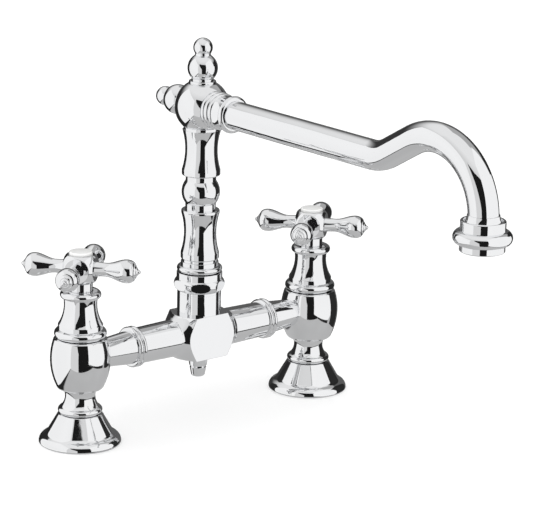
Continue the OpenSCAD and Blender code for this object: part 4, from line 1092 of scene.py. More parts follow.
@dataclass
class CrossHandles(SubAssembly):
    """The two crossheads: a ball hub with flats, four turned arms and a white index disc."""

    angles: Pair = (38.0, 37.0)
    stem_d: float = 14.4
    hub_w: float = 18.6
    hub_h: float = 16.8
    ball_d: float = 23.8
    spline_d: float = 7.3
    screw_d: float = 4.1
    counterbore_d: float = 8.4
    counterbore_depth: float = 9.7
    web_h: float = 2.0
    arm_len: float = 27.35
    foot_d: float = 9.0
    waist_d: float = 8.2
    waist_at: float = 6.0
    bulb_d: float = 14.2
    bulb_at: float = 19.0
    bulb_end: float = 23.9
    bulb_end_d: float = 8.2
    tip_rings: tuple[Triple, ...] = ((4.1, 3.0, 0.8), (2.5, 1.7, 0.7))
    tip_band: float = 0.25
    tip_r: float = 1.3
    screw_len: float = 4.0
    arm_screw_d: float = 5.1
    disc_d: float = 14.2
    disc_h: float = 2.0
    disc_edge_r: float = 0.9
    disc_crown: float = 0.15
    disc_plug_d: float = 8.3
    flat_edge: float = 0.4
    soft: float = 0.2
    ARM_STEPS: ClassVar[tuple[int, int, int]] = (8, 20, 14)

    def _hub(self) -> Piece:
        """Turns the ball with its stem and bores, and cuts its four flats.

        Returns:
            The hub, about its handle's axis.
        """
        top, stem_z, soft = high("hot_handle_hub"), low("hot_handle_hub"), self.soft
        half, ball_r = self.hub_h / 2, self.ball_d / 2
        reach = math.sqrt(ball_r * ball_r - half * half)
        web = top - self.counterbore_depth
        hub = (
            Profile(self.spline_d / 2, stem_z)
            .path((self.stem_d / 2, stem_z, soft), (self.stem_d / 2, top - self.hub_h))
            .line(reach, top - self.hub_h, soft)
            .arc(0, top - half, 2 * asin(half / ball_r), soft)
            .path((self.counterbore_d / 2, top, soft), (self.counterbore_d / 2, web))
            .steps((self.screw_d / 2, web - self.web_h))
            .close()
            .spin()
        )
        Bench.cut_around(hub, 4, self.hub_w / 2)
        Bench.soften(hub, self.flat_edge)
        return hub

    def _arm_curve(self) -> Iterable[Pair]:
        """Places along an arm from its foot at the hub to the end of the bulb.

        Returns:
            The places, in order.
        """
        foot, waist, bulb, end = (
            d / 2 for d in (self.foot_d, self.waist_d, self.bulb_d, self.bulb_end_d)
        )
        neck, rise, fall = ([i / n for i in range(n + 1)] for n in self.ARM_STEPS)
        for t in neck:
            yield foot - (foot - waist) * math.sin(t * math.pi / 2), self.waist_at * t
        for t in rise[1:]:
            swell = (1 - math.cos(math.pi * t)) / 2
            along = self.waist_at + (self.bulb_at - self.waist_at) * t
            yield waist + (bulb - waist) * swell, along
        for t in fall[1:]:
            angle = t * math.pi / 2
            along = self.bulb_at + (self.bulb_end - self.bulb_at) * math.sin(angle)
            yield end + (bulb - end) * math.cos(angle), along

    def _arm(self) -> Piece:
        """Turns one arm about Z with its foot at the origin.

        Returns:
            The turned solid.
        """
        edge, at = self.soft / 2, self.bulb_end
        profile = Profile(0, -self.screw_len).steps((self.arm_screw_d / 2, 0))
        profile.path(*self._arm_curve())
        for wide, narrow, taper in self.tip_rings:
            profile.path((wide, at), (wide, at + self.tip_band, edge))
            at += self.tip_band + taper
            profile.line(narrow, at, edge)
        tip_z = self.arm_len - self.tip_r
        sunk = asin((tip_z - at) / self.tip_r)
        profile.line(around(0, 0, self.tip_r, sunk)[0], at)
        return profile.arc(0, tip_z, 90 + sunk).spin(Profile.COARSE)

    def _disc(self) -> Piece:
        """Turns the index disc, slightly crowned, with its plug.

        Returns:
            The turned solid.
        """
        foot, top = low("hot_index_disc"), high("hot_index_disc")
        seat, plug, outer = top - self.disc_h, self.disc_plug_d / 2, self.disc_d / 2
        edge_x, edge_z = outer - self.disc_edge_r, top - self.disc_edge_r - self.disc_crown
        crown = sag_radius(edge_x, self.disc_crown)
        return (
            Profile(0, foot)
            .path((plug, foot, self.soft), (plug, seat), (outer, seat, self.soft))
            .line(outer, edge_z)
            .arc(edge_x, edge_z, 90)
            .arc(0, top - crown, asin(edge_x / crown))
            .spin(Profile.PLAIN)
        )

    def build(self) -> None:
        """Builds the pieces once and sets them on both spindles."""
        hub, arm, disc = self._hub(), self._arm(), self._disc()
        hub_mid = high("hot_handle_hub") - self.hub_h / 2
        outward = turned_about("Y", 90) @ moved(z=self.hub_w / 2)
        for side, angle in zip(Side, self.angles):
            body = f"{side.value}_handle"
            turn = moved(side.x) @ turned_about("Z", angle)
            self.dress(Bench.copy(hub, turn), side.node("handle_hub"), body)
            self.dress(Bench.copy(disc, turn), side.node("index_disc"), body, PORCELAIN)
            for number in range(4):
                root = moved(side.x, z=hub_mid) @ turned_about("Z", angle + 90 * number)
                self.dress(Bench.copy(arm, root @ outward), side.node(f"arm_{number + 1}"), body)
        for start in (hub, arm, disc):
            bpy.data.objects.remove(start, do_unlink=True)


@dataclass
class Bridge(SubAssembly):
    """The two tapered bridge arms, the mixing block with its collar, and the drain plug."""

    ring_d: float = 25.1
    ring_w: float = 2.8
    arm_end_d: float = 21.9
    arm_root_d: float = 23.0
    bore_d: float = 10.0
    spigot_d: float = 14.8
    spigot_len: float = 8.0
    groove_d: float = 12.5
    groove_w: float = 1.44
    thread_d: float = 16.0
    thread_len: float = 7.0
    fit: float = 0.05
    end_gap: float = 0.2
    block_side: float = 27.4
    end_run: float = 0.9
    end_lap: float = 2.6
    end_sink: float = 0.05
    block_edge: float = 0.35
    mixing_d: float = 16.0
    collar_d: float = 27.0
    collar_h: float = 12.7
    collar_bore_d: float = 21.2
    collar_bore_rise: float = 8.5
    collar_thread_d: float = 24.4
    plug_d: float = 12.4
    plug_mid_d: float = 10.9
    plug_groove_d: float = 9.6
    plug_low_d: float = 10.3
    plug_end_d: float = 8.6
    plug_top_h: float = 7.0
    plug_groove_h: float = 1.2
    plug_low_h: float = 5.8
    plug_round_r: float = 1.4
    plug_thread_d: float = 8.0
    soft: float = 0.15
    END_STEPS: ClassVar[int] = 12
    OVERRUN: ClassVar[float] = 1.0

    def _arms(self) -> None:
        """Turns one bridge arm about its own axis and copies it to the other side."""
        start = low("hot_bridge_arm", 0) - Side.HOT.x
        joint = start + self.spigot_len
        root = -high("mixing_block", 0) - Side.HOT.x
        seat, spigot, half_w = start + self.spigot_len / 2, self.spigot_d / 2, self.groove_w / 2
        arm = (
            Profile(self.bore_d / 2, start)
            .steps((spigot, seat - half_w), (self.groove_d / 2, seat + half_w), (spigot, joint))
            .ring(self.ring_d / 2, joint, joint + self.ring_w)
            .path((self.arm_end_d / 2, joint + self.ring_w), (self.arm_root_d / 2, root))
            .steps((self.thread_d / 2, root + self.thread_len))
            .close()
            .spin()
        )
        along = moved(Side.HOT.x, z=middle("hot_bridge_arm")) @ turned_about("Y", 90)
        self.dress_both(arm, "bridge_arm", along, turned_about("Z", 180) @ along)

    def _end_curve(self, half: float) -> list[Pair]:
        """Hollow curve of a block's end, an arc from the arm's root to past the corners.

        Args:
            half: Half the block's length.

        Returns:
            The places, each a distance from the bridge's axis and from the block's middle.
        """
        root, side = self.arm_root_d / 2, self.block_side / 2
        wide = side * math.sqrt(2) + self.OVERRUN
        start = Vector((root - self.end_sink, half + self.end_lap))
        through = Vector((side, half - (side - root) * self.end_run))
        end = Vector((wide, half - (wide - root) * self.end_run))
        pull = 2 * through - (start + end) / 2
        return [
            tuple(start * (1 - t) ** 2 + pull * (2 * t * (1 - t)) + end * t * t)
            for t in (i / self.END_STEPS for i in range(self.END_STEPS + 1))
        ]

    def _block(self, bridge_z: float) -> Piece:
        """Turns the block's hollow ends about the bridge and cuts its four flats.

        Args:
            bridge_z: Height of the bridge's axis.

        Returns:
            The block without its collar.
        """
        half, side = high("mixing_block", 0), self.block_side / 2
        ends = self._end_curve(half)
        far, depth = ends[0][1], half - self.thread_len - self.end_gap
        block = (
            Profile(self.thread_d / 2 + self.fit, -far)
            .path(*((r, -x) for r, x in ends), *reversed(ends))
            .steps((self.thread_d / 2 + self.fit, depth), (self.bore_d / 2, -depth))
            .close()
            .spin()
        )
        Bench.place(block, moved(z=bridge_z) @ turned_about("Y", 90))
        for outward in (Vector(v) for v in ((0, 1, 0), (0, 0, 1), (0, -1, 0), (0, 0, -1))):
            Bench.cut_flat(block, outward * side + Vector((0, 0, bridge_z)), outward)
        Bench.soften(block, self.block_edge)
        return block

    def _collar(self, bridge_z: float) -> Piece:
        """Turns the collar with its thread, from inside the block upwards.

        Args:
            bridge_z: Height of the bridge's axis.

        Returns:
            The turned solid.
        """
        top, end = bridge_z + self.block_side / 2 + self.collar_h, high("mixing_block")
        return (
            Profile(0, bridge_z + self.mixing_d / 2)
            .steps((self.collar_d / 2, top), (self.collar_thread_d / 2, end, self.soft))
            .line(0, end)
            .spin()
        )

    def _chamber(self, bridge_z: float) -> Piece:
        """Turns the hollow of the block: the plug's thread, the chamber and the collar's bore.

        Args:
            bridge_z: Height of the bridge's axis.

        Returns:
            The turned solid.
        """
        end = high("mixing_block") + self.OVERRUN
        return (
            Profile(0, bridge_z - self.block_side / 2 - self.OVERRUN)
            .steps((self.plug_thread_d / 2 + self.fit, bridge_z - self.bore_d / 2))
            .steps((self.mixing_d / 2, bridge_z + self.collar_bore_rise))
            .steps((self.collar_bore_d / 2, end), (0, end))
            .spin()
        )

    def _plug(self, bridge_z: float) -> Piece:
        """Turns the drain plug under the block.

        Args:
            bridge_z: Height of the bridge's axis.

        Returns:
            The turned solid.
        """
        seat, inside = bridge_z - self.block_side / 2, bridge_z - self.bore_d / 2
        groove = seat - self.plug_top_h
        lower = groove - self.plug_groove_h
        end = lower - self.plug_low_h
        round_x = self.plug_end_d / 2 - self.plug_round_r
        return (
            Profile(0, end)
            .line(round_x, end)
            .arc(round_x, end + self.plug_round_r, 90)
            .line(self.plug_low_d / 2, lower, self.soft)
            .steps((self.plug_groove_d / 2, groove))
            .path((self.plug_mid_d / 2, groove, self.soft), (self.plug_d / 2, seat))
            .steps((self.plug_thread_d / 2, inside), (0, inside))
            .spin(Profile.PLAIN)
        )

    def build(self) -> None:
        """Builds the bridge from pillar to pillar."""
        self._arms()
        bridge_z = middle("hot_bridge_arm")
        block = Bench.join_solids(self._block(bridge_z), self._collar(bridge_z), "UNION")
        Bench.join_solids(block, self._chamber(bridge_z), "DIFFERENCE")
        Bench.clean(block)
        self.dress(block, "mixing_block", "base")
        self.dress(self._plug(bridge_z), "bottom_plug", "base")


@dataclass
class Swivel(SubAssembly):
    """The nut that keeps the spout in the collar: a round bead with six flats cut across it."""

    width: float = 31.4
    flats: float = 29.1
    bead_h: float = 5.5
    bead_r: float = 4.5
    foot_d: float = 27.0
    rim_d: float = 28.1
    edge: float = 0.4
    bore_d: float = 24.5
    lip_d: float = 19.8
    lip_h: float = 2.2
    flat_edge: float = 0.2
    turn: float = -5.0

    def build(self) -> None:
        """Turns the nut and cuts its flats."""
        foot, top = low("swivel_nut"), high("swivel_nut")
        bead_x, bead_z = self.width / 2 - self.bead_r, foot + self.bead_h
        foot_a, rim_a = (acos((d / 2 - bead_x) / self.bead_r) for d in (self.foot_d, self.rim_d))
        nut = (
            Profile(self.bore_d / 2, foot)
            .line(self.foot_d / 2, foot)
            .line(*around(bead_x, bead_z, self.bead_r, -foot_a))
            .arc(bead_x, bead_z, foot_a + rim_a)
            .path((self.rim_d / 2, top, self.edge), (self.lip_d / 2, top, self.edge / 2))
            .line(self.lip_d / 2, top - self.lip_h)
            .close()
            .spin()
        )
        Bench.cut_around(nut, 6, self.flats / 2, self.turn)
        Bench.soften(nut, self.flat_edge)
        self.dress(nut, "swivel_nut", "base")


@dataclass
class Column(SubAssembly):
    """The turned column: foot rings, two vases, the ball between them and the elbow."""

    journal_d: float = 19.2
    bore_d: float = 11.6
    nut_gap: float = 0.3
    ring_d: float = 27.9
    ring_h: float = 3.8
    ring_lift: float = 0.02
    step_d: float = 23.2
    step_h: float = 2.6
    groove_d: float = 21.6
    groove_h: float = 1.6
    vase_end_d: float = 23.5
    vase_waist_d: float = 19.7
    band_h: float = 4.0
    curve_h: float = 25.0
    edge_r: float = 0.8
    knop_d: float = 23.4
    knop_neck_d: float = 18.6
    knop_low_neck: float = 4.0
    elbow_neck_d: float = 22.0
    elbow_neck_h: float = 1.7
    joint_d: float = 15.2
    joint_len: float = 4.4
    fit: float = 0.05
    end_gap: float = 0.2
    elbow_d: float = 33.4
    soft: float = 0.15

    def _hollow(self, profile: Profile, start: float) -> Profile:
        """Draws a vase's hollow curve, which starts at a height.

        Args:
            profile: The profile so far.
            start: Height where the curve starts.

        Returns:
            The profile.
        """
        half = self.curve_h / 2
        radius = sag_radius(half, (self.vase_end_d - self.vase_waist_d) / 2)
        profile.line(self.vase_end_d / 2, start, self.soft)
        return profile.arc(self.vase_waist_d / 2 + radius, start + half, -2 * asin(half / radius))

    def _socket(self, foot: float) -> Profile:
        """Starts a piece with a socket for the joint below it."""
        reach = foot + self.joint_len + self.end_gap
        return Profile(self.bore_d / 2, reach).steps((self.joint_d / 2 + self.fit, foot))

    def _joint(self, profile: Profile, seat: float) -> Piece:
        """Ends a piece with a joint above its seat, and turns it."""
        return profile.steps((self.joint_d / 2, seat + self.joint_len)).close().spin()

    def _low_stem(self, knop_z: float) -> Piece:
        """Turns the journal, the foot rings and the lower vase.

        Args:
            knop_z: Height of the ball's foot.

        Returns:
            The turned solid.
        """
        journal, start = self.journal_d / 2, low("low_stem")
        stem_foot = high("swivel_nut") + self.nut_gap
        step_z = stem_foot + self.ring_h
        groove_z = step_z + self.step_h
        vase_z = groove_z + self.groove_h
        edge_x = self.vase_end_d / 2 - self.edge_r
        profile = (
            Profile(self.bore_d / 2, start)
            .path((journal, start, self.soft), (journal, stem_foot))
            .ring(self.ring_d / 2, stem_foot, step_z)
            .line(self.step_d / 2, step_z + self.ring_lift)
            .line(self.step_d / 2, groove_z, self.soft * 2)
            .steps((self.groove_d / 2, vase_z))
            .line(edge_x, vase_z)
            .arc(edge_x, vase_z + self.edge_r, 90)
        )
        self._hollow(profile, vase_z + self.band_h)
        profile.line(self.vase_end_d / 2, knop_z - self.edge_r)
        return self._joint(profile.arc(edge_x, knop_z - self.edge_r, 90), knop_z)

    def _knop(self, knop_z: float, vase_z: float) -> Piece:
        """Turns the ball between the vases.

        Args:
            knop_z: Height of its foot.
            vase_z: Height of its top.

        Returns:
            The turned solid.
        """
        neck, ball = self.knop_neck_d / 2, self.knop_d / 2
        half = math.sqrt(ball * ball - neck * neck)
        neck_z = knop_z + self.knop_low_neck
        profile = (
            self._socket(knop_z)
            .path((neck, knop_z), (neck, neck_z, self.soft))
            .arc(0, neck_z + half, 2 * asin(half / ball), self.soft)
            .line(neck, vase_z)
        )
        return self._joint(profile, vase_z)

    def _high_stem(self, vase_z: float, seat: float) -> Piece:
        """Turns the upper vase with the neck under the elbow.

        Args:
            vase_z: Height of its foot.
            seat: Height of its top.

        Returns:
            The turned solid.
        """
        edge_x = self.vase_end_d / 2 - self.edge_r
        profile = self._socket(vase_z).line(edge_x, vase_z).arc(edge_x, vase_z + self.edge_r, 90)
        self._hollow(profile, vase_z + self.band_h - self.edge_r)
        neck = self.elbow_neck_d / 2
        profile.path((neck, seat - self.elbow_neck_h, self.soft), (neck, seat))
        return self._joint(profile, seat)

    def _elbow(self, spout_z: float) -> Piece:
        """Turns the elbow's ball, cuts its four seats and drills its waterways.

        Args:
            spout_z: Height of the spout's straight run.

        Returns:
            The elbow.
        """
        ball_r, foot, front = self.elbow_d / 2, low("elbow"), low("elbow", 1)
        elbow = Profile(0, -ball_r).arc(0, 0, 180).spin()
        Bench.place(elbow, moved(z=spout_z))
        seats = (
            ((0, 0, foot), (0, 0, -1)),
            ((0, 0, high("elbow")), (0, 0, 1)),
            ((0, front, spout_z), (0, -1, 0)),
            ((0, high("elbow", 1), spout_z), (0, 1, 0)),
        )
        for at, outward in seats:
            Bench.cut_flat(elbow, at, outward)
        drill = Profile(0, 0).steps((self.joint_d / 2, ball_r), (0, ball_r)).spin(Profile.COARSE)
        waterways = (
            moved(z=foot + self.joint_len) @ turned_about("X", 180),
            moved(y=front + self.joint_len, z=spout_z) @ turned_about("X", 90),
        )
        for waterway in waterways:
            Bench.join_solids(elbow, Bench.copy(drill, waterway), "DIFFERENCE")
        bpy.data.objects.remove(drill, do_unlink=True)
        Bench.clean(elbow)
        return elbow

    def build(self) -> None:
        """Builds the column on the spout's body."""
        knop_z, vase_z, seat = low("knop"), low("high_stem"), low("elbow")
        self.dress(self._low_stem(knop_z), "low_stem", "spout")
        self.dress(self._knop(knop_z, vase_z), "knop", "spout")
        self.dress(self._high_stem(vase_z, seat), "high_stem", "spout")
        self.dress(self._elbow(middle("spout_collar")), "elbow", "spout")


@dataclass
class Finials(SubAssembly):
    """The two finials of the elbow: a thin foot, a large ball and a small ball on a neck."""

    foot_d: float = 16.6
    foot_h: float = 1.5
    neck_d: float = 13.3
    ball_d: float = 18.4
    ball_rise: float = 9.0
    waist_d: float = 9.6
    tip_d: float = 11.8
    tip_rise: float = 12.5
    screw_d: float = 5.0
    screw_len: float = 5.0

    def build(self) -> None:
        """Turns one finial and copies it behind the elbow."""
        start = low("top_finial")
        seat = start + self.screw_len
        ball, tip, neck, waist = (
            d / 2 for d in (self.ball_d, self.tip_d, self.neck_d, self.waist_d)
        )
        foot_r, round_r = self.foot_d / 2, self.foot_h / 2
        ball_z, tip_z = seat + self.ball_rise, seat + self.ball_rise + self.tip_rise
        neck_a, waist_a, tip_a = acos(neck / ball), acos(waist / ball), acos(waist / tip)
        finial = (
            Profile(0, start)
            .steps((self.screw_d / 2, seat), (foot_r, seat + round_r))
            .arc(foot_r - round_r, seat + round_r, 90)
            .line(neck, seat + self.foot_h)
            .line(neck, around(0, ball_z, ball, -neck_a)[1])
            .arc(0, ball_z, neck_a + waist_a)
            .line(waist, around(0, tip_z, tip, -tip_a)[1])
            .arc(0, tip_z, tip_a + 90)
            .spin()
        )
        centre = moved(z=middle("spout_collar"))
        rear = Bench.copy(finial, centre @ turned_about("X", -90) @ centre.inverted())
        self.dress(finial, "top_finial", "spout")
        self.dress(rear, "rear_finial", "spout")


@dataclass
class Spout(SubAssembly):
    """The collar at the elbow, the bent tube and the nozzle."""

    rings: tuple[Pair, ...] = ((23.2, 2.8), (23.0, 3.2), (22.2, 3.1))
    waist_d: float = 20.2
    waist_end_d: float = 20.8
    waist_len: float = 7.0
    ring_d: float = 22.6
    ring_w: float = 3.4
    ring_back: float = 1.1
    joint_d: float = 15.2
    joint_len: float = 4.4
    socket_len: float = 13.4
    tube_d: float = 17.3
    wall: float = 1.2
    rise_angle: float = 30.0
    low_bend_r: float = 30.0
    high_bend_r: float = 38.5
    crest_rise: float = 19.9
    end_len: float = 6.0
    fit: float = 0.05
    nozzle_d: float = 25.2
    nozzle_h: float = 17.4
    nozzle_ring_d: float = 33.0
    nozzle_ring_r: float = 4.0
    nozzle_ring_h: float = 7.9
    cup_w: float = 1.6
    cup_depth: float = 1.6
    flare_h: float = 3.0
    flare_w: float = 2.0
    flare_edge: float = 0.4
    edge_r: float = 0.7
    thread_d: float = 21.0
    thread_h: float = 9.0
    bore_d: float = 13.0
    soft: float = 0.15
    TUBE_POINTS: ClassVar[int] = 80
    BEND_STEP: ClassVar[float] = 2.5
    FLARE_STEPS: ClassVar[int] = 14

    @property
    def collar_len(self) -> float:
        """Length of the collar outside the elbow's seat."""
        return sum(width for _, width in self.rings) + self.waist_len + self.ring_w

    def _collar(self, start: float) -> Piece:
        """Turns the collar about Z, from the elbow's seat outwards.

        Args:
            start: Distance of the elbow's seat from the column's axis.

        Returns:
            The turned solid.
        """
        end = start + self.collar_len
        ring = end - self.ring_w
        half, waist = self.waist_len / 2, ring - self.waist_len
        outer, back, front = self.ring_d / 2, self.ring_back, self.ring_w - self.ring_back
        curve = sag_radius(half, (self.waist_end_d - self.waist_d) / 2)
        profile = Profile(self.tube_d / 2 - self.wall, start - self.joint_len)
        profile.steps((self.joint_d / 2, start))
        at = start
        for diameter, width in self.rings:
            profile.ring(diameter / 2, at, at + width)
            at += width
        return (
            profile.line(self.waist_end_d / 2, waist)
            .arc(self.waist_d / 2 + curve, waist + half, -2 * asin(half / curve))
            .line(outer - back, ring)
            .arc(outer - back, ring + back, 90)
            .arc(outer - front, ring + back, 90)
            .steps((self.tube_d / 2 + self.fit, end - self.socket_len))
            .close()
            .spin()
        )

    def _tube(self, start: float, spout_z: float, reach: float) -> Piece:
        """Bends the tube: a ring of edges is extruded and spun along its run, then gets its wall.

        Args:
            start: Distance of the tube's start from the column's axis.
            spout_z: Height of the straight run.
            reach: Distance of the nozzle's axis from the column's axis.

        Returns:
            The tube.
        """
        angle = math.radians(self.rise_angle)
        bends = self.low_bend_r + self.high_bend_r
        rise = (self.crest_rise - bends * (1 - math.cos(angle))) / math.sin(angle)
        span = bends * math.sin(angle) + rise * math.cos(angle) + self.high_bend_r
        bend_at = reach - span
        Bench.clear()
        bpy.ops.mesh.primitive_circle_add(
            vertices=self.TUBE_POINTS,
            radius=self.tube_d / 2 * MM,
            location=(0, -start * MM, spout_z * MM),
            rotation=(math.pi / 2, 0, 0),
        )
        tube = bpy.context.object
        bpy.ops.object.transform_apply(location=True, rotation=True, scale=True)
        Bench.edit()
        self._extrude((0, start - bend_at, 0))
        self._bend((0, -bend_at, spout_z + self.low_bend_r), self.rise_angle)
        self._extrude((0, -rise * math.cos(angle), rise * math.sin(angle)))
        crest = (0, self.high_bend_r - reach, spout_z + self.crest_rise - self.high_bend_r)
        self._bend(crest, -self.rise_angle - 90)
        self._extrude((0, 0, -self.end_len))
        Bench.clean(tube)
        Bench.modify(tube, "SOLIDIFY", thickness=self.wall * MM, offset=-1.0)
        return tube

    @staticmethod
    def _extrude(step: Triple) -> None:
        """Extrudes the selected ring of edges by millimetres."""
        bpy.ops.mesh.extrude_edges_move(TRANSFORM_OT_translate={"value": Vector(step) * MM})

    @classmethod
    def _bend(cls, centre: Triple, degrees: float) -> None:
        """Spins the selected ring about an axis along X; positive bends upwards.

        Args:
            centre: A point on the axis, in millimetres.
            degrees: Turn of the bend.
        """
        bpy.ops.mesh.spin(
            steps=round(abs(degrees) / cls.BEND_STEP),
            angle=math.radians(degrees),
            center=Vector(centre) * MM,
            axis=(1, 0, 0),
        )

    def _nozzle(self, foot: float) -> Piece:
        """Turns the nozzle: lower rim, round ring and cup, with a flare around the tube.

        Args:
            foot: Height of the nozzle's mouth.

        Returns:
            The turned solid.
        """
        top = foot + self.nozzle_h
        floor, tube = top - self.cup_depth, self.tube_d / 2 + self.fit
        ring_z, ring_x = foot + self.nozzle_ring_h, self.nozzle_ring_d / 2 - self.nozzle_ring_r
        outer, edge, cup = self.nozzle_d / 2, self.edge_r, self.nozzle_d / 2 - self.cup_w
        meet = acos((outer - ring_x) / self.nozzle_ring_r)
        flare = [
            (
                tube + self.flare_edge + (self.flare_w - self.flare_edge) * (1 - t) ** 2,
                floor + (self.cup_depth + self.flare_h) * t,
            )
            for t in (i / self.FLARE_STEPS for i in range(self.FLARE_STEPS + 1))
        ]
        return (
            Profile(self.thread_d / 2, foot, self.soft)
            .line(outer - edge, foot)
            .arc(outer - edge, foot + edge, 90)
            .line(outer, around(ring_x, ring_z, self.nozzle_ring_r, -meet)[1])
            .arc(ring_x, ring_z, 2 * meet)
            .line(outer, top - edge)
            .arc(outer - edge, top - edge, 90)
            .path((cup, top, self.soft), (cup, floor), *flare, (tube, top + self.flare_h))
            .line(tube, top - self.end_len)
            .steps((self.bore_d / 2, foot + self.thread_h))
            .close()
            .spin()
        )

    def build(self) -> None:
        """Builds the spout on its body."""
        spout_z, reach, start = middle("spout_collar"), -middle("nozzle", 1), -low("elbow", 1)
        outward = moved(z=spout_z) @ turned_about("X", 90)
        self.dress(Bench.place(self._collar(start), outward), "spout_collar", "spout")
        tube = self._tube(start + self.collar_len - self.socket_len, spout_z, reach)
        self.dress(tube, "spout_tube", "spout")
        nozzle = Bench.place(self._nozzle(low("nozzle")), moved(y=-reach))
        self.dress(nozzle, "nozzle", "spout")


@dataclass
class InnerParts(SubAssembly):
    """The CAD nodes that stay: seals, headworks, discs, bearing, clip and aerator."""

    def build(self) -> None:
        """Gives every node that still shows its finish from the record's slot."""
        slots = {p["node"]: p["material_slot"] for p in frame["record"]["subparts"]}
        for name, node in frame["nodes"].items():
            if node.hide_render:
                continue
            FINISHES[slots[name]].put_on(node)
            LOG.info("%s keeps its CAD shape, in %s", name, slots[name])


# --- studio


@dataclass(frozen=True)
class Board:
    """A board of the studio that only reflections see.

    A corner is how far it lies to the camera's right of the tap's middle, how far towards the
    camera, and how high, in millimetres.
    """

    name: str
    light: Pair
    corners: tuple[Triple, Triple, Triple, Triple]


@dataclass(frozen=True)
class Quarter:
    """What lies far behind the boards, between two turns from the camera, in degrees."""

    start: float
    end: float
    top: float
    light: float
    soft: float = 2.0
    fade: float = 1.5


BOARDS = (
    Board("left_board", (1.0, 0.93),
          ((-430, 640, -199), (-335, -178, -199), (-335, -178, 600), (-430, 640, 600))),
    Board("left_gap", (0.015, 0.03),
          ((-335, -178, -199), (-250, -420, -199), (-250, -420, 340), (-335, -178, 260))),
    Board("right_board", (1.0, 0.96),
          ((290, 573, -97), (468, -17, -125), (500, -75, 800), (290, 573, 800))),
    Board("right_board_end", (1.0, 0.96),
          ((468, -17, -125), (428, -88, -60), (428, -88, 260), (480, -40, 300))),
    # Dark band under the right board: its underside edge and the painted shade beneath it.
    Board("right_board_edge_and_shade", (0.02, 0.02),
          ((290, 573, -122), (468, -17, -165), (468, -17, -125), (290, 573, -97))),
    Board("right_gap", (0.015, 0.03),
          ((529, -108, -199), (360, -480, -199), (360, -480, 450), (529, -108, 450))),
    Board("rear_gap", (0.10, 0.12),
          ((360, -480, -199), (-60, -560, -199), (-60, -560, 470), (360, -480, 450))),
    Board("front_board", (0.010, 0.012),
          ((-125, 1200, -1500), (1300, 1200, -1500), (1300, 1200, 1000), (-125, 1200, 1000))),
    Board("front_wing", (0.010, 0.012),
          ((-125, 1200, 160), (-125, 1200, 1000), (-680, 1200, 1200), (-600, 1200, 840))),
    Board("table_board", (0.56, 0.44),
          ((-60, -900, -200), (900, -900, -200), (900, 450, -200), (-60, 540, -200))),
    Board("table_wing", (0.56, 0.44),
          ((-900, -900, -200), (-60, -900, -200), (-60, 540, -200), (-900, 700, -200))),
)
QUARTERS = (
    Quarter(118, 179, 64, 0.42, 3.0),
    Quarter(85, 137, 24, 0.04, 5.0),
    Quarter(137, 176, 28, 0.10, 5.0),
    Quarter(-90, 45, 46, 0.72, 0.7, 15),
    Quarter(45, 85, 36, 0.010, 0.7),
)


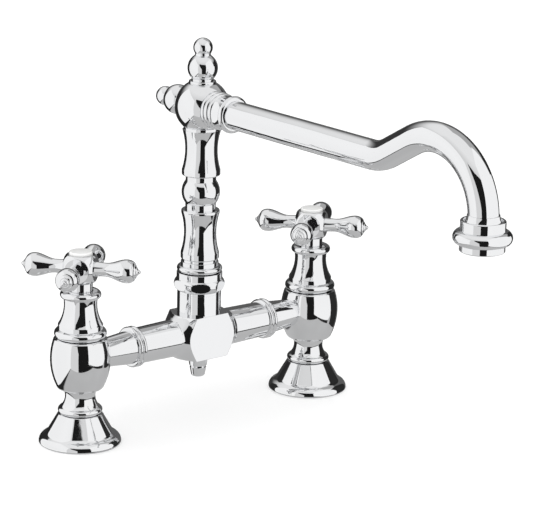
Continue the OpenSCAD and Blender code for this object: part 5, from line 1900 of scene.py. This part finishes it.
@dataclass
class Studio:
    """Camera, pale floor, lamp, boards and far surroundings of the tap."""

    place: Triple = (-1020.713, -1275.483, 551.355)
    right: Triple = (0.767787, -0.640316, 0.022322)
    up: Triple = (0.153874, 0.218103, 0.963719)
    focal_pixels: float = 2764.55
    centre: Pair = (270.0, 258.5)
    sensor: float = 36.0
    clip: Pair = (0.05, 50.0)
    floor_size: float = 12.0
    floor_colours: tuple[Colour, Colour] = ((0.74, 0.74, 0.74), (0.76, 0.76, 0.76))
    floor_cloud: float = 3.0
    floor_dull: float = 0.85
    floor_shine: float = 0.1
    floor_light: float = 0.28
    board_cloud: float = 2.5
    shadow_ends: tuple[Pair, Pair] = ((-335, -178), (-430, 640))
    shadow_widths: Pair = (95.0, 12.0)
    shadow_edge: Pair = (0.6, 1.0)
    shadow_light: float = 0.02
    rear_light: Pair = (0.04, 0.84)
    rear_heights: Pair = (14.0, 46.0)
    top_light: float = 0.86
    top_heights: Pair = (44.0, 60.0)
    lamp_power: float = 1.7
    lamp_angle: float = 140.0
    backdrop: float = 0.97

    def _axes(self) -> tuple[Vector, Vector]:
        """Finds the level directions of the camera.

        Returns:
            The direction towards the camera's right and the one towards the camera.
        """
        back = Vector(self.right).cross(Vector(self.up))
        ahead = Vector((back.x, back.y, 0)).normalized()
        return Vector((-ahead.y, ahead.x, 0)), ahead

    def camera(self) -> None:
        """Sets the camera at the photograph's angle."""
        right, up = (Vector(v).normalized() for v in (self.right, self.up))
        back = right.cross(up).normalized()
        bpy.ops.object.camera_add()
        camera = bpy.context.object
        camera.name = "camera"
        rotation = Matrix((right, back.cross(right), back)).transposed().to_4x4()
        camera.matrix_world = moved(*self.place) @ rotation
        width, height = IMAGE_SIZE
        lens = camera.data
        lens.sensor_fit = "HORIZONTAL"
        lens.sensor_width = self.sensor
        lens.lens = self.focal_pixels * self.sensor / width
        lens.shift_x = (width / 2 - self.centre[0]) / width
        lens.shift_y = (self.centre[1] - height / 2) / width
        lens.clip_start, lens.clip_end = self.clip
        bpy.context.scene.camera = camera

    def floor(self) -> None:
        """Adds the pale floor that the tap stands on."""
        plane = Bench.plane("floor", self.floor_size)
        made = bpy.data.materials.new("floor_paper")
        graph = Graph(made)
        cloud = graph.noise(graph.place(), self.floor_cloud)
        sockets = {
            "Base Color": graph.mix(cloud, *self.floor_colours),
            "Roughness": self.floor_dull,
            "Specular IOR Level": self.floor_shine,
            "Emission Color": (1.0, 1.0, 1.0, 1.0),
            "Emission Strength": self.floor_light,
        }
        graph.show("ShaderNodeBsdfPrincipled", sockets)
        plane.data.materials.append(made)
        plane.visible_glossy = False

    def reflectors(self) -> None:
        """Sets up the boards, which only reflections see."""
        across, ahead = self._axes()
        for board in BOARDS:
            plane = Bench.plane(board.name, 1.0)
            for index, corner in zip(plane.data.polygons[0].vertices, board.corners):
                place = across * corner[0] + ahead * corner[1] + Vector((0, 0, corner[2]))
                plane.data.vertices[index].co = place * MM
            made = bpy.data.materials.new(board.name)
            graph = Graph(made)
            place = graph.place()
            first, second = board.light
            strength = first + graph.noise(place, self.board_cloud, 1.0) * (second - first)
            if board.name.startswith("table"):
                shadow = self._shadow(graph, place)
                strength = self.shadow_light + shadow * (strength - self.shadow_light)
            graph.show("ShaderNodeEmission", {"Strength": strength})
            plane.data.materials.append(made)
            plane.visible_camera = plane.visible_diffuse = plane.visible_shadow = False

    def _shadow(self, graph: Graph, place: Socket) -> Value:
        """The left board's soft shadow on the table, 0 where it is deepest.

        Args:
            graph: The table's material graph.
            place: Object coordinates.

        Returns:
            The share of light that is left.
        """
        across, ahead = self._axes()
        far, near = (across * s * MM + ahead * a * MM for s, a in self.shadow_ends)
        along = (near - far).normalized()
        outward = Vector((along.y, -along.x, 0))
        outward *= -math.copysign(1, outward.dot(far))
        x, y, _ = graph.split(place)
        x, y = x - far.x, y - far.y
        reach = (x * along.x + y * along.y) / (near - far).length
        wide, thin = (width * MM for width in self.shadow_widths)
        width = (wide + reach * (thin - wide)).math("MAXIMUM", thin)
        return ((x * outward.x + y * outward.y) / width).ramp(*self.shadow_edge)

    def surroundings(self) -> None:
        """Shades what lies beyond the boards, and the white backdrop."""
        world = bpy.data.worlds.new("studio")
        bpy.context.scene.world = world
        graph = Graph(world)
        x, y, z = graph.split(graph.place("Generated"))
        height = z.math("ARCSINE") * RADIAN
        side, toward = self._axes()
        ahead, across = (x * axis.x + y * axis.y for axis in (toward, side))
        turn = across.math("ARCTAN2", ahead) * RADIAN
        dim, bright = self.rear_light
        light = dim + height.ramp(*self.rear_heights) * (bright - dim)
        light = light + height.ramp(*self.top_heights) * (self.top_light - light)
        for quarter in QUARTERS:
            inside = turn.band(quarter.start, quarter.end, quarter.soft)
            inside = inside * height.ramp(quarter.top + quarter.fade, quarter.top - quarter.fade)
            light = light + inside * (quarter.light - light)
        sees = Value(graph, graph.node("ShaderNodeLightPath").outputs["Is Camera Ray"])
        sockets = {"Color": (1, 1, 1, 1), "Strength": light + sees * (self.backdrop - light)}
        graph.show("ShaderNodeBackground", sockets, "World")
        bpy.context.scene.view_settings.view_transform = "Standard"

    def lamp(self) -> None:
        """Hangs one very soft lamp over the floor, which reflections don't see."""
        Bench.clear()
        bpy.ops.object.light_add(type="SUN", location=(0, 0, 2))
        lamp = bpy.context.object
        lamp.name = "soft_lamp"
        lamp.data.energy = self.lamp_power
        lamp.data.angle = math.radians(self.lamp_angle)
        lamp.visible_glossy = False

    def build(self) -> None:
        """Builds the studio."""
        self.camera()
        self.floor()
        self.reflectors()
        self.surroundings()
        self.lamp()


def main() -> None:
    """Builds the studio and the sub-assemblies in order."""
    logging.basicConfig(level=logging.INFO, format="%(name)s: %(message)s")
    Studio().build()
    parts = (Feet, ValveBodies, Shrouds, CrossHandles, Bridge, Swivel, Column, Finials, Spout)
    for part in (*parts, InnerParts):
        part().build()
        LOG.info("%s done", part.__name__)


if __name__ == "__main__":
    main()
